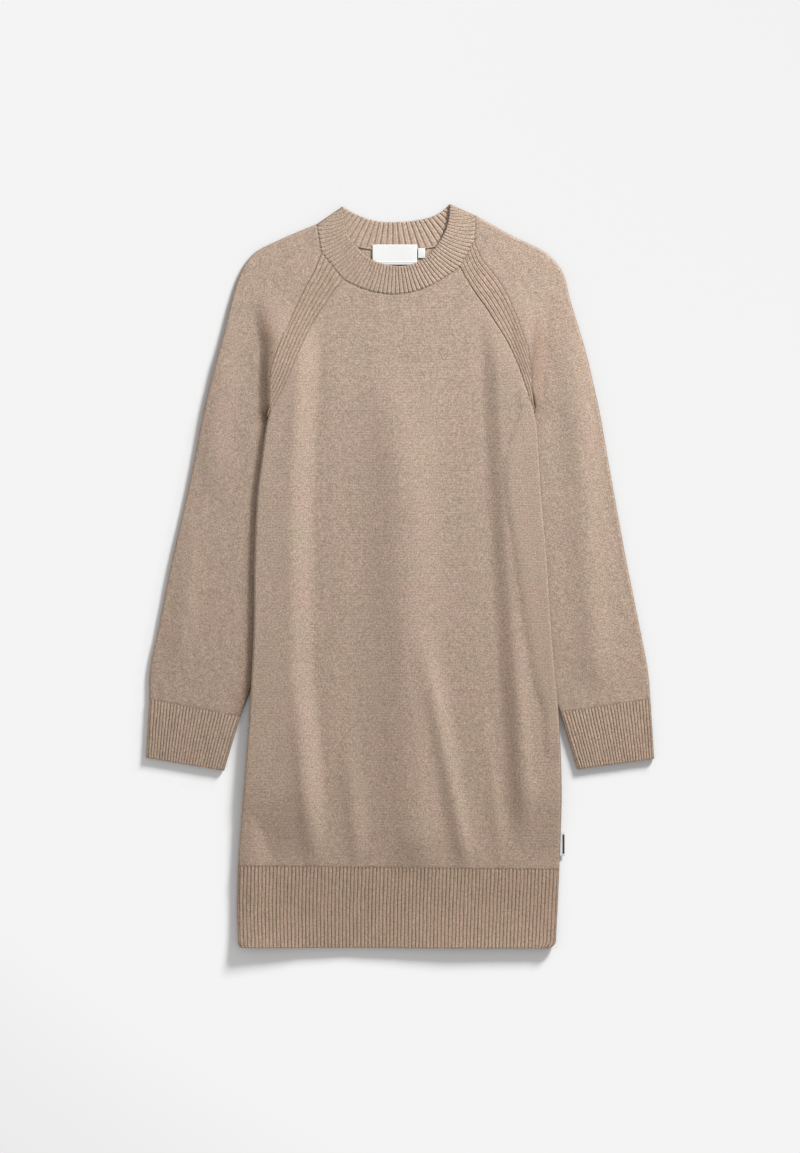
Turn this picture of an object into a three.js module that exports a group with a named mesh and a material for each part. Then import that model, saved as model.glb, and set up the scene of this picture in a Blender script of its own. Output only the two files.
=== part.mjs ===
// A knitted raglan dress, laid flat with its front up.
// Millimetres. X runs across the dress, Y towards the neck, Z up, and it rests on z = 0.
// "left" is the side of negative X.

import * as THREE from "three";

// Cloth
const WALL = 2.4; // jersey, and ribs at their hollows
const AIR = 0.6; // between two layers that lie on each other
const STACK = 2 * WALL + AIR; // two layers
const SEAM = 0.4; // between the edges of two pieces that are sewn together
const RIB_RISE = 0.8; // ribs stand above their hollows
const SIDE_SLIT = 0.3; // between front and back along a side seam
const FOLD_RADIUS = STACK / 2; // of the outside of a folded edge

// The sides of the body lie on the inner edges of the sleeves
const LIFT = STACK + 0.45;
const LIFT_RAMP = 34; // from the sleeve's inner edge towards the middle of the body
const LIFT_MARGIN = 10; // the body is fully lifted this far before the sleeve's inner edge
const CREASE_WIDTH = 14; // where a sleeve drops from the body's level to the floor

// Ribs of each band
const HEM_RIBS = 86;
const CUFF_RIBS = 27;
const RAGLAN_RIBS = 6;
const NECK_RIBS_FRONT = 54;
const NECK_RIBS_BACK = 26;

// Rows and columns of the surfaces
const RAGLAN_ROWS = 9;
const BODY_ROWS = 11;
const SLEEVE_ROWS = 9;
const BODY_COLUMNS = 22;
const HEM_BACK_COLUMNS = 12;
const SLEEVE_COLUMNS = 5;
const CUFF_BACK_COLUMNS = 8;
const CURL_STEPS = 3; // a quarter turn round a folded edge
const UNDERARM_ROWS = 1.5; // rows over which a side seam turns into a folded edge
const HEM_ROWS = [0, 0.82, 0.95, 1]; // shares of the way down
const CUFF_ROWS = [0, 0.55, 1];
const BAND_COLUMNS = [0, 0.5, 1]; // shares of the way across a neckband or a back raglan band
const NECK_SEAM_STEPS = 24;

// Raglan lines, one row for each step from neck to underarm.
// body: seam of band and front; sleeve: seam of band and sleeve; fold: top of shoulder and arm.
const RAGLAN = {
  left: [
    { body: [-68.2, 355.8], sleeve: [-94.0, 387.1], fold: [-100.2, 421.8] },
    { body: [-80.0, 340.8], sleeve: [-103.5, 364.0], fold: [-144.0, 403.2] },
    { body: [-90.0, 326.3], sleeve: [-114.0, 345.0], fold: [-176.5, 385.5] },
    { body: [-99.5, 312.0], sleeve: [-122.5, 327.0], fold: [-191.5, 362.0] },
    { body: [-111.5, 290.5], sleeve: [-133.0, 302.0], fold: [-201.6, 331.2] },
    { body: [-124.5, 261.8], sleeve: [-146.6, 272.3], fold: [-213.6, 283.2] },
    { body: [-137.5, 231.0], sleeve: [-155.2, 240.0], fold: [-222.5, 252.0] },
    { body: [-151.4, 204.5], sleeve: [-155.7, 203.0], fold: [-231.2, 217.0] },
  ],
  right: [
    { body: [71.8, 370.9], sleeve: [89.0, 400.6], fold: [90.8, 432.2] },
    { body: [81.0, 354.0], sleeve: [97.0, 381.0], fold: [132.0, 409.2] },
    { body: [91.5, 337.5], sleeve: [109.0, 365.5], fold: [176.5, 386.0] },
    { body: [101.0, 324.5], sleeve: [118.7, 352.7], fold: [195.0, 364.0] },
    { body: [114.5, 303.5], sleeve: [131.0, 331.0], fold: [204.0, 331.2] },
    { body: [129.0, 280.0], sleeve: [143.5, 299.2], fold: [213.5, 300.0] },
    { body: [140.5, 254.5], sleeve: [154.5, 266.0], fold: [223.0, 268.0] },
    { body: [153.0, 220.5], sleeve: [158.4, 219.5], fold: [234.0, 221.0] },
  ],
};

// Widths of the raglan band along those rows, where nothing covers it
const RAGLAN_WIDTHS = { left: { neck: 32, underarm: 21 }, right: { neck: 31, underarm: 17 } };
const RAGLAN_LEAST_COLUMN = 0.12; // width of the columns that the crease covers

// Ends of the hidden back raglan lines
const RAGLAN_BACK = {
  left: {
    body: { neck: [-58, 395], underarm: [-151.4, 204.5] },
    sleeve: { neck: [-82, 407], underarm: [-155.7, 203.0] },
  },
  right: {
    body: { neck: [55, 397], underarm: [153.0, 220.5] },
    sleeve: { neck: [76, 411], underarm: [158.4, 219.5] },
  },
};

// Side edges of the body, from underarm to hem seam
const BODY = [
  { left: [-155.2, 198.5], right: [157.4, 207.0] },
  { left: [-157.4, 192.0], right: [160.2, 198.0] },
  { left: [-160.8, 175.0], right: [164.4, 176.0] },
  { left: [-165.6, 139.0], right: [166.9, 139.0] },
  { left: [-170.4, 103.0], right: [169.0, 103.0] },
  { left: [-174.4, 19.0], right: [176.3, 19.0] },
  { left: [-175.4, -68.0], right: [181.8, -68.0] },
  { left: [-180.0, -157.0], right: [189.4, -157.0] },
  { left: [-187.6, -257.0], right: [193.8, -257.0] },
  { left: [-194.4, -347.3], right: [191.0, -351.8] },
];

// Side edges of the hem rib, from its seam to its lower edge, and its rounded lower corners: how far
// a corner is pulled in, how high it is, and how far along the edge the ribs bend with it
const HEM = [
  { left: [-194.4, -347.7], right: [191.0, -352.2] },
  { left: [-195.5, -400.0], right: [188.9, -398.0] },
  { left: [-194.4, -432.0], right: [187.2, -430.0] },
  { left: [-193.9, -445.2], right: [186.4, -446.0] },
];
const HEM_HEIGHT = 98;
const HEM_CORNER = {
  left: { pull: 6.5, height: 12, reach: 18 },
  right: { pull: 10, height: 19, reach: 26 },
};

// Sleeves below the underarm. inner: the folded edge with the seam; outer: the fold of the arm
const ARM = {
  left: [
    { inner: [-158.8, 193.5], outer: [-234.8, 203.0] },
    { inner: [-155.4, 180.0], outer: [-239.3, 180.0] },
    { inner: [-141.0, 136.0], outer: [-248.0, 134.0] },
    { inner: [-143.5, 90.0], outer: [-257.5, 89.0] },
    { inner: [-155.0, 20.0], outer: [-273.4, 20.0] },
    { inner: [-168.0, -68.0], outer: [-291.0, -68.0] },
    { inner: [-177.5, -130.0], outer: [-300.0, -112.0] },
    { inner: [-191.5, -168.6], outer: [-300.8, -147.8] },
  ],
  right: [
    { inner: [161.6, 202.0], outer: [236.8, 209.5] },
    { inner: [158.0, 187.0], outer: [241.2, 187.0] },
    { inner: [143.0, 140.0], outer: [249.6, 138.0] },
    { inner: [145.5, 92.0], outer: [257.8, 92.0] },
    { inner: [156.5, 20.0], outer: [271.0, 20.0] },
    { inner: [169.0, -68.0], outer: [288.6, -68.0] },
    { inner: [179.5, -130.0], outer: [297.2, -114.0] },
    { inner: [191.6, -163.8], outer: [300.2, -147.8] },
  ],
};

// Lower edges of the cuffs
const CUFF_END = {
  left: { inner: [-211.0, -233.6], outer: [-304.7, -217.8] },
  right: { inner: [212.3, -231.8], outer: [304.7, -219.3] },
};

// Neckband edges. free: the edge of the opening; seam: sewn to front, bands and sleeves or back
const NECK_FREE_FRONT = [
  [-69.6, 442.8], [-64.6, 415.4], [-51.7, 393.7], [-33.2, 378.8], [0, 371.4],
  [24.1, 377.6], [41.8, 392.9], [56.3, 419.4], [60.2, 445.9],
];
const NECK_FREE_BACK = [
  [-69.6, 442.8], [-51.7, 433.1], [-27.6, 425.4], [0, 424.6], [24.1, 427.4], [45, 433.9], [60.2, 445.9],
];
const NECK_SAG_FRONT = 25; // the front's neck seam below the line of its corners
const NECK_SAG_BACK = 6.6;

// The front band's free edge stands over the label, less towards the shoulders
const NECK_EDGE_RISE = 2.0;
const NECK_EDGE_POWER = 0.5;

// Towards the shoulders the front's ribs reach the free edge this share of it lower down
const NECK_LEAN = { share: 0.06, ends: 0.14 };

// The band's folds at the shoulders: which way they face, and about how long each half is
const NECK_FOLD = { left: [-0.8, 0.6], right: [0.83, 0.55] };
const NECK_HALF_LENGTH = 300;

// The front's sides stand higher than its middle. Each row gives a height and how far from the
// middle the cloth slopes down towards it
const SIDE_SLOPE = [
  { y: 330, left: 104, right: 104 },
  { y: 131, left: 116, right: 113 },
  { y: -109, left: 117, right: 127 },
  { y: -345, left: 97, right: 142 },
];
const SIDE_SLOPE_HALF = { left: 16, right: 11 };
const SIDE_RISE = { left: 7.2, right: 4.6 };
const SIDE_SPAN = { top: 330, full: 240, fading: -250, none: -345 };

// A fold rises over this length before and after its first end, and falls before and after its last
const FOLD_RISE = 70;
const FOLD_FALL = { before: 40, after: 20 };

// Largest folds of the front: a ridge from one end to the other
const FRONT_FOLDS = [
  { from: [-114, -160], to: [-104, -345], width: 13, height: 2.6 },
  { from: [-60, -230], to: [-50, -345], width: 11, height: 2.2 },
  { from: [-2, 200], to: [18, -345], width: 31, height: 5 },
  { from: [34, -110], to: [79, -345], width: 11, height: 3.4 },
  { from: [104, -200], to: [122, -345], width: 9, height: 1 },
  { from: [140, -90], to: [152, -290], width: 10, height: 2 },
];

// Largest folds of the sleeves
const SLEEVE_FOLDS = [
  { from: [-208, 300], to: [-228, 110], width: 16, height: 2.4 },
  { from: [-250, 40], to: [-266, -110], width: 15, height: 2.2 },
  { from: [208, 260], to: [236, -130], width: 18, height: 3.6 },
];

// Labels
const LABEL_THICKNESS = 0.8;
const NECK_LABEL = { x: [-32.9, 20.4], y: [373.2, 397.4] };
const SIZE_TAB = { x: [21.6, 30.1], y: [381.2, 392.9] };
const SIDE_TAB = { outerX: 197.6, y: [-336, -307] }; // its inner edge follows the side seam

// Colours
const JERSEY_COLOUR = 0xae9886;
const RIB_COLOUR = 0xa28c7a;
const LABEL_COLOUR = 0xf1efea;

const material = (color, roughness) => new THREE.MeshStandardMaterial({ color, roughness, metalness: 0 });

// A point between two points
const mix = (a, b, t) => [a[0] + (b[0] - a[0]) * t, a[1] + (b[1] - a[1]) * t];

// 0 below a, 1 above b, and a smooth rise between them; a may be above b
function smooth(a, b, value) {
  const t = Math.min(Math.max((value - a) / (b - a), 0), 1);
  return t * t * (3 - 2 * t);
}

// A smooth curve through [x, y] points, as a function of 0 to 1
function curveThrough(points) {
  const vectors = points.map(([x, y]) => new THREE.Vector3(x, y, 0));
  const curve = new THREE.CatmullRomCurve3(vectors, false, "centripetal");
  const plan = ({ x, y }) => [x, y];
  return {
    at: (t) => plan(curve.getPoint(t)),
    evenly: (t) => plan(curve.getPointAt(t)),
  };
}

// The x of a curve at a height y, from its rows; y falls from row to row
function xAtHeight(rows, y) {
  const last = rows.length - 1;
  if (y >= rows[0][1]) return rows[0][0];
  for (let i = 0; i < last; i += 1) {
    const [x0, y0] = rows[i];
    const [x1, y1] = rows[i + 1];
    if (y >= y1) return x0 + ((x1 - x0) * (y0 - y)) / (y0 - y1);
  }
  return rows[last][0];
}

// The line beyond which the body lies on a sleeve: the crease above the underarm, then the
// sleeve's inner edge
const CREASE = {
  left: [[-165.6, 339.6], [-158.4, 295.2], [-155.4, 277.2], [-155.4, 211.0]],
  right: [[168.0, 333.6], [162.0, 283.2], [158.6, 235.2], [158.2, 220.0]],
};
const liftLine = (side) => [...CREASE[side], ...ARM[side].map((row) => row.inner)];

// How far up the body is lifted at a height y, 0 to 1, for its back and its front
const UNDERARM = { left: 198, right: 206 };
const CUFF_LEVEL = { full: -200, none: -262 };
const CREASE_LEVEL = { none: 345, full: 275 };
const BACK_LIFTED = 34; // above the underarm
const UPPER_LIFT = 0.8; // of the whole lift, where only the front is lifted

function backRise(side, y) {
  const underarm = UNDERARM[side];
  const above = smooth(underarm + BACK_LIFTED, underarm, y);
  return above * smooth(CUFF_LEVEL.none, CUFF_LEVEL.full, y);
}

function frontRise(side, y) {
  const underarm = UNDERARM[side];
  if (y < underarm) return backRise(side, y);
  const upper = smooth(CREASE_LEVEL.none, CREASE_LEVEL.full, y);
  return UPPER_LIFT * upper + (1 - UPPER_LIFT) * backRise(side, y);
}

function lift(x, y, rise) {
  const side = x < 0 ? "left" : "right";
  const full = Math.abs(xAtHeight(liftLine(side), y)) - LIFT_MARGIN;
  return LIFT * rise(side, y) * smooth(full - LIFT_RAMP, full, Math.abs(x));
}

// The raised sides of the front
function sideRise(x, y) {
  const side = x < 0 ? "left" : "right";
  const centre = xAtHeight(SIDE_SLOPE.map((row) => [row[side], row.y]), y);
  const half = SIDE_SLOPE_HALF[side];
  const span = smooth(SIDE_SPAN.top, SIDE_SPAN.full, y) * smooth(SIDE_SPAN.none, SIDE_SPAN.fading, y);
  return SIDE_RISE[side] * span * smooth(centre - half, centre + half, Math.abs(x));
}
const frontLift = (x, y) => Math.max(lift(x, y, frontRise), sideRise(x, y));

// Height of the folds at a place: a bell across each ridge, tapered at its ends
function folds(table, x, y) {
  let height = 0;
  for (const fold of table) {
    const dx = fold.to[0] - fold.from[0];
    const dy = fold.to[1] - fold.from[1];
    const length = Math.hypot(dx, dy);
    const along = ((x - fold.from[0]) * dx + (y - fold.from[1]) * dy) / length;
    const across = ((x - fold.from[0]) * dy - (y - fold.from[1]) * dx) / length;
    const rising = smooth(-FOLD_RISE, FOLD_RISE, along);
    const taper = rising * smooth(length + FOLD_FALL.after, length - FOLD_FALL.before, along);
    height += fold.height * taper * Math.exp(-((across / fold.width) ** 2));
  }
  return height;
}

// Undersides of the layers at a place
const backUnder = (x, y) => lift(x, y, backRise);
const frontUnder = (x, y) => WALL + AIR + frontLift(x, y) + folds(FRONT_FOLDS, x, y);

// A sleeve's upper layer drops from the body's level to the floor beyond the crease
function sleeveUnder(x, y) {
  const side = x < 0 ? "left" : "right";
  const onBody = y > UNDERARM[side] ? frontLift(x, y) : 0;
  const beyond = Math.abs(x) - Math.abs(xAtHeight(CREASE[side], y));
  const drop = smooth(CREASE_WIDTH, SEAM, beyond);
  return WALL + AIR + onBody * drop + folds(SLEEVE_FOLDS, x, y);
}

// A closed wall between two grids of points, rows by columns, with rims at the open edges.
// A ring has no rim between its last and first column.
function wall(outer, inner, ring = false) {
  const rows = outer.length;
  const columns = outer[0].length;
  const positions = [...outer.flat(2), ...inner.flat(2)];
  const innerStart = rows * columns;
  const out = (r, c) => r * columns + (c % columns);
  const inn = (r, c) => innerStart + out(r, c);
  const index = [];
  const quad = (a, b, c, d) => index.push(a, b, c, a, c, d);
  const steps = ring ? columns : columns - 1;
  for (let c = 0; c < steps; c += 1) {
    for (let r = 0; r < rows - 1; r += 1) {
      quad(out(r, c), out(r + 1, c), out(r + 1, c + 1), out(r, c + 1));
      quad(inn(r, c), inn(r, c + 1), inn(r + 1, c + 1), inn(r + 1, c));
    }
    quad(inn(0, c), out(0, c), out(0, c + 1), inn(0, c + 1));
    quad(out(rows - 1, c), inn(rows - 1, c), inn(rows - 1, c + 1), out(rows - 1, c + 1));
  }
  if (!ring) {
    for (let r = 0; r < rows - 1; r += 1) {
      quad(inn(r, 0), inn(r + 1, 0), out(r + 1, 0), out(r, 0));
      quad(out(r, steps), out(r + 1, steps), inn(r + 1, steps), inn(r, steps));
    }
  }
  return solid(positions, index);
}

// A geometry whose faces point out
function solid(positions, index) {
  let volume = 0;
  const point = (i) => new THREE.Vector3().fromArray(positions, 3 * i);
  for (let i = 0; i < index.length; i += 3) {
    const [a, b, c] = [point(index[i]), point(index[i + 1]), point(index[i + 2])];
    volume += a.dot(b.cross(c));
  }
  const faces = volume > 0 ? index : index.reverse();
  const geometry = new THREE.BufferGeometry();
  geometry.setAttribute("position", new THREE.Float32BufferAttribute(positions, 3));
  geometry.setIndex(faces);
  geometry.computeVertexNormals();
  return geometry;
}

// Columns of one layer between two ends. Each column has a place along the row and an angle:
// 90 degrees on the flat, less where the cloth curls round a folded edge down to its seam.
function layerColumns(middle, ribs = false) {
  const columns = [];
  for (let i = 0; i < CURL_STEPS; i += 1) {
    columns.push({ end: "first", angle: (i / CURL_STEPS) * (Math.PI / 2), share: 0, rib: 0 });
  }
  for (let i = 0; i <= middle; i += 1) {
    columns.push({ end: "none", angle: Math.PI / 2, share: i / middle, rib: ribs ? i % 2 : 0 });
  }
  for (let i = CURL_STEPS - 1; i >= 0; i -= 1) {
    columns.push({ end: "last", angle: (i / CURL_STEPS) * (Math.PI / 2), share: 1, rib: 0 });
  }
  return columns;
}

// Distance of a column from a folded edge (fold 1) or from a seam (fold 0), outside and inside.
// The first column of a curl is at angle 0.
function edgeInset(angle, fold) {
  const step = angle / (Math.PI / 2);
  const bend = 1 - Math.cos(angle);
  const flat = SEAM / 2 + step * FOLD_RADIUS;
  return {
    out: fold * FOLD_RADIUS * bend + (1 - fold) * flat,
    in: fold * (WALL + (FOLD_RADIUS - WALL) * bend) + (1 - fold) * flat,
  };
}

// One row of a layer: first and last are its ends in plan, fold.first and fold.last say how far
// each end is a folded edge, and corner how far up its corners it lies, from 1 at the lower edge. A
// front curls down to the middle of the stack and a back curls up to it.
function layerRow({ first, last, fold, columns, sag, isFront, corner = { left: 0, right: 0 } }) {
  const length = Math.hypot(last[0] - first[0], last[1] - first[1]);
  const start = edgeInset(Math.PI / 2, fold).out;
  const outer = [];
  const inner = [];
  const pull = (side, distance) => {
    const { pull: amount, reach } = HEM_CORNER[side];
    return corner[side] * amount * smooth(reach, 0, distance);
  };
  const pointAt = (distance) => {
    const t = distance / length;
    const [x, y] = mix(first, last, t);
    return [x + pull("left", distance) - pull("right", length - distance), y - sag * 4 * t * (1 - t)];
  };
  for (const column of columns) {
    const inset = edgeInset(column.angle, fold);
    const middle = start + (length - 2 * start) * column.share;
    const place = {
      first: [inset.out, inset.in],
      none: [middle, middle],
      last: [length - inset.out, length - inset.in],
    };
    const [outPlan, inPlan] = place[column.end].map(pointAt);
    const rise = column.end === "none" ? 1 : fold * Math.sin(column.angle) + 1 - fold;
    const turn = backUnder(...outPlan) + FOLD_RADIUS;
    if (isFront) {
      const base = frontUnder(...outPlan);
      const slit = turn + SIDE_SLIT / 2;
      const top = base + WALL + RIB_RISE * column.rib;
      outer.push([...outPlan, slit + (top - slit) * rise]);
      inner.push([...inPlan, slit + (base - slit) * rise]);
    } else {
      const base = backUnder(...outPlan);
      const slit = turn - SIDE_SLIT / 2;
      outer.push([...outPlan, slit + (base - slit) * rise]);
      inner.push([...inPlan, slit + (base + WALL - slit) * rise]);
    }
  }
  return { outer, inner };
}

const RAGLAN_STEPS = Array.from({ length: RAGLAN_ROWS + 1 }, (_, i) => i / RAGLAN_ROWS);
const BODY_STEPS = Array.from({ length: BODY_ROWS + 1 }, (_, i) => i / BODY_ROWS);
const columnOf = (table, name) => curveThrough(table.map((row) => row[name]));

// Front and back of the body: raglan rows, then rows between the side edges
function bodyPanel(isFront) {
  const columns = layerColumns(BODY_COLUMNS);
  const raglanEnd = (side) => {
    if (isFront) return columnOf(RAGLAN[side], "body").at;
    const line = RAGLAN_BACK[side].body;
    return (t) => mix(line.neck, line.underarm, t);
  };
  const raglanLeft = raglanEnd("left");
  const raglanRight = raglanEnd("right");
  const neckSag = isFront ? NECK_SAG_FRONT : NECK_SAG_BACK;
  const rows = RAGLAN_STEPS.map((t) => ({
    first: raglanLeft(t),
    last: raglanRight(t),
    sag: neckSag * (1 - t) ** 2 + (t === 0 ? SEAM / 2 : 0),
    fold: 0,
  }));
  const edgeLeft = columnOf(BODY, "left").at;
  const edgeRight = columnOf(BODY, "right").at;
  for (const t of BODY_STEPS) {
    const fold = smooth(0, UNDERARM_ROWS / BODY_ROWS, t);
    rows.push({ first: edgeLeft(t), last: edgeRight(t), sag: 0, fold });
  }
  const made = rows.map((row) => layerRow({ ...row, columns, isFront }));
  return wall(made.map((row) => row.outer), made.map((row) => row.inner));
}

// Hem rib, ribbed on the front and plain where it rests
function hemPanel(isFront) {
  const columns = layerColumns(isFront ? 2 * HEM_RIBS : HEM_BACK_COLUMNS, isFront);
  const left = columnOf(HEM, "left").at;
  const right = columnOf(HEM, "right").at;
  const cornerAt = (side, t) => {
    const up = Math.max(1 - ((1 - t) * HEM_HEIGHT) / HEM_CORNER[side].height, 0);
    return 1 - Math.sqrt(1 - up ** 2);
  };
  const rows = HEM_ROWS.map((t) => ({
    first: left(t),
    last: right(t),
    sag: 0,
    fold: 1,
    corner: { left: cornerAt("left", t), right: cornerAt("right", t) },
  }));
  const made = rows.map((row) => layerRow({ ...row, columns, isFront }));
  return wall(made.map((row) => row.outer), made.map((row) => row.inner));
}

// One section of a sleeve or cuff: the upper layer from its inner edge out, round the fold of the
// arm, and the lower layer back in. fold is 1 where the inner edge is folded, 0 at a raglan seam.
function tubeRow({ frontInner, backInner, outer: outerEnd, fold, middle, backMiddle, ribs, under }) {
  const outer = [];
  const inner = [];
  const half = (first, isFront) => {
    const length = Math.hypot(outerEnd[0] - first[0], outerEnd[1] - first[1]);
    const start = edgeInset(Math.PI / 2, fold).out;
    const points = [];
    const add = (outAt, inAt, rise, rib) => {
      const outPlan = mix(first, outerEnd, outAt / length);
      const inPlan = mix(first, outerEnd, inAt / length);
      const slit = FOLD_RADIUS + (isFront ? SIDE_SLIT / 2 : -SIDE_SLIT / 2);
      const base = isFront ? under(...outPlan) : WALL;
      const face = isFront ? base + WALL + rib * RIB_RISE : 0;
      points.push([[...outPlan, slit + (face - slit) * rise], [...inPlan, slit + (base - slit) * rise]]);
    };
    for (let i = 0; i < CURL_STEPS; i += 1) {
      const angle = (i / CURL_STEPS) * (Math.PI / 2);
      const inset = edgeInset(angle, fold);
      add(inset.out, inset.in, fold * Math.sin(angle) + 1 - fold, 0);
    }
    const steps = isFront ? middle : backMiddle;
    for (let i = 0; i <= steps; i += 1) {
      const at = start + (length - start - FOLD_RADIUS) * (i / steps);
      add(at, at, 1, ribs && isFront ? i % 2 : 0);
    }
    for (let i = CURL_STEPS - 1; i > 0; i -= 1) {
      const angle = (i / CURL_STEPS) * (Math.PI / 2);
      const inset = edgeInset(angle, 1);
      add(length - inset.out, length - inset.in, Math.sin(angle), 0);
    }
    return points;
  };
  const front = half(frontInner, true);
  const back = half(backInner, false).reverse();
  const towards = Math.hypot(outerEnd[0] - frontInner[0], outerEnd[1] - frontInner[1]);
  const inFold = mix(frontInner, outerEnd, 1 - WALL / towards);
  const turn = [[[...outerEnd, FOLD_RADIUS], [...inFold, FOLD_RADIUS]]];
  for (const [out, inn] of [...front, ...turn, ...back]) {
    outer.push(out);
    inner.push(inn);
  }
  return { outer, inner };
}

function sleeve(side) {
  const seam = columnOf(RAGLAN[side], "sleeve").at;
  const shoulder = columnOf(RAGLAN[side], "fold").at;
  const backLine = RAGLAN_BACK[side].sleeve;
  const arm = { inner: columnOf(ARM[side], "inner").at, outer: columnOf(ARM[side], "outer").at };
  const towardsBody = side === "left" ? 1 : -1;
  const raglanRows = RAGLAN_STEPS.map((t) => {
    const tuck = t === 0 ? SEAM / 2 : 0;
    const away = ([x, y]) => [x - towardsBody * tuck, y];
    return {
      frontInner: away(seam(t)),
      backInner: away(mix(backLine.neck, backLine.underarm, t)),
      outer: away(shoulder(t)),
      fold: 0,
    };
  });
  const armRows = Array.from({ length: SLEEVE_ROWS + 1 }, (_, i) => {
    const t = i / SLEEVE_ROWS;
    const inner = arm.inner(t);
    return { frontInner: inner, backInner: inner, outer: arm.outer(t), fold: 1 };
  });
  const rows = [...raglanRows, ...armRows];
  const steps = { middle: SLEEVE_COLUMNS, backMiddle: SLEEVE_COLUMNS };
  const made = rows.map((row) => tubeRow({ ...row, ...steps, under: sleeveUnder }));
  return wall(made.map((row) => row.outer), made.map((row) => row.inner));
}

function cuff(side) {
  const top = ARM[side][ARM[side].length - 1];
  const end = CUFF_END[side];
  const rows = CUFF_ROWS.map((t) => {
    const drop = t === 0 ? SEAM : 0;
    const inner = mix(top.inner, end.inner, t);
    const outer = mix(top.outer, end.outer, t);
    return {
      frontInner: [inner[0], inner[1] - drop],
      backInner: [inner[0], inner[1] - drop],
      outer: [outer[0], outer[1] - drop],
      fold: 1,
    };
  });
  const flat = () => WALL + AIR;
  const steps = { middle: 2 * CUFF_RIBS, backMiddle: CUFF_BACK_COLUMNS, ribs: true };
  const made = rows.map((row) => tubeRow({ ...row, ...steps, under: flat }));
  return wall(made.map((row) => row.outer), made.map((row) => row.inner));
}

// Front raglan band: ribs run along it, and where the crease covers it they end one by one
function raglanFront(side) {
  const body = columnOf(RAGLAN[side], "body").at;
  const seam = columnOf(RAGLAN[side], "sleeve").at;
  const widths = RAGLAN_WIDTHS[side];
  const count = 2 * RAGLAN_RIBS;
  const outer = [];
  const inner = [];
  for (const t of RAGLAN_STEPS) {
    const first = body(t);
    const last = seam(t);
    const seen = Math.hypot(last[0] - first[0], last[1] - first[1]) - SEAM;
    const whole = Math.max(widths.neck + (widths.underarm - widths.neck) * t, seen);
    const outRow = [];
    const inRow = [];
    for (let c = 0; c <= count; c += 1) {
      const limit = seen - (count - c) * RAGLAN_LEAST_COLUMN;
      const place = Math.min((c / count) * whole, limit);
      const [x, y] = mix(first, last, (place + SEAM / 2) / (seen + SEAM));
      const base = frontUnder(x, y);
      const covered = place === limit && c < count;
      const rib = c % 2 === 1 && !covered ? RIB_RISE : 0;
      outRow.push([x, y, base + WALL + rib]);
      inRow.push([x, y, base]);
    }
    outer.push(outRow);
    inner.push(inRow);
  }
  return wall(outer, inner);
}

// Back raglan band, plain because it rests on the floor
function raglanBack(side) {
  const { body, sleeve: seam } = RAGLAN_BACK[side];
  const outer = [];
  const inner = [];
  for (const t of RAGLAN_STEPS) {
    const first = mix(body.neck, body.underarm, t);
    const last = mix(seam.neck, seam.underarm, t);
    const width = Math.hypot(last[0] - first[0], last[1] - first[1]);
    const outRow = [];
    const inRow = [];
    for (const share of BAND_COLUMNS) {
      const [x, y] = mix(first, last, (SEAM / 2 + share * (width - SEAM)) / width);
      const base = backUnder(...first) * (1 - share);
      outRow.push([x, y, base]);
      inRow.push([x, y, base + WALL]);
    }
    outer.push(outRow);
    inner.push(inRow);
  }
  return wall(outer, inner);
}

// The neck seam in plan, from one shoulder to the other, along the front and along the back
function neckSeam(isFront) {
  const ends = isFront
    ? { left: RAGLAN.left[0], right: RAGLAN.right[0] }
    : {
        left: { body: RAGLAN_BACK.left.body.neck, sleeve: RAGLAN_BACK.left.sleeve.neck },
        right: { body: RAGLAN_BACK.right.body.neck, sleeve: RAGLAN_BACK.right.sleeve.neck },
      };
  const sag = isFront ? NECK_SAG_FRONT : NECK_SAG_BACK;
  const points = [RAGLAN.left[0].fold, ends.left.sleeve];
  for (let i = 0; i <= NECK_SEAM_STEPS; i += 1) {
    const t = i / NECK_SEAM_STEPS;
    const [x, y] = mix(ends.left.body, ends.right.body, t);
    points.push([x, y - sag * 4 * t * (1 - t)]);
  }
  points.push(ends.right.sleeve, RAGLAN.right[0].fold);
  return points;
}

// A point at a share of the length of a line through points
function evenlyAlong(points) {
  const path = new THREE.CurvePath();
  for (let i = 0; i < points.length - 1; i += 1) {
    path.add(new THREE.LineCurve(new THREE.Vector2(...points[i]), new THREE.Vector2(...points[i + 1])));
  }
  return (t) => path.getPointAt(t).toArray();
}

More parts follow.
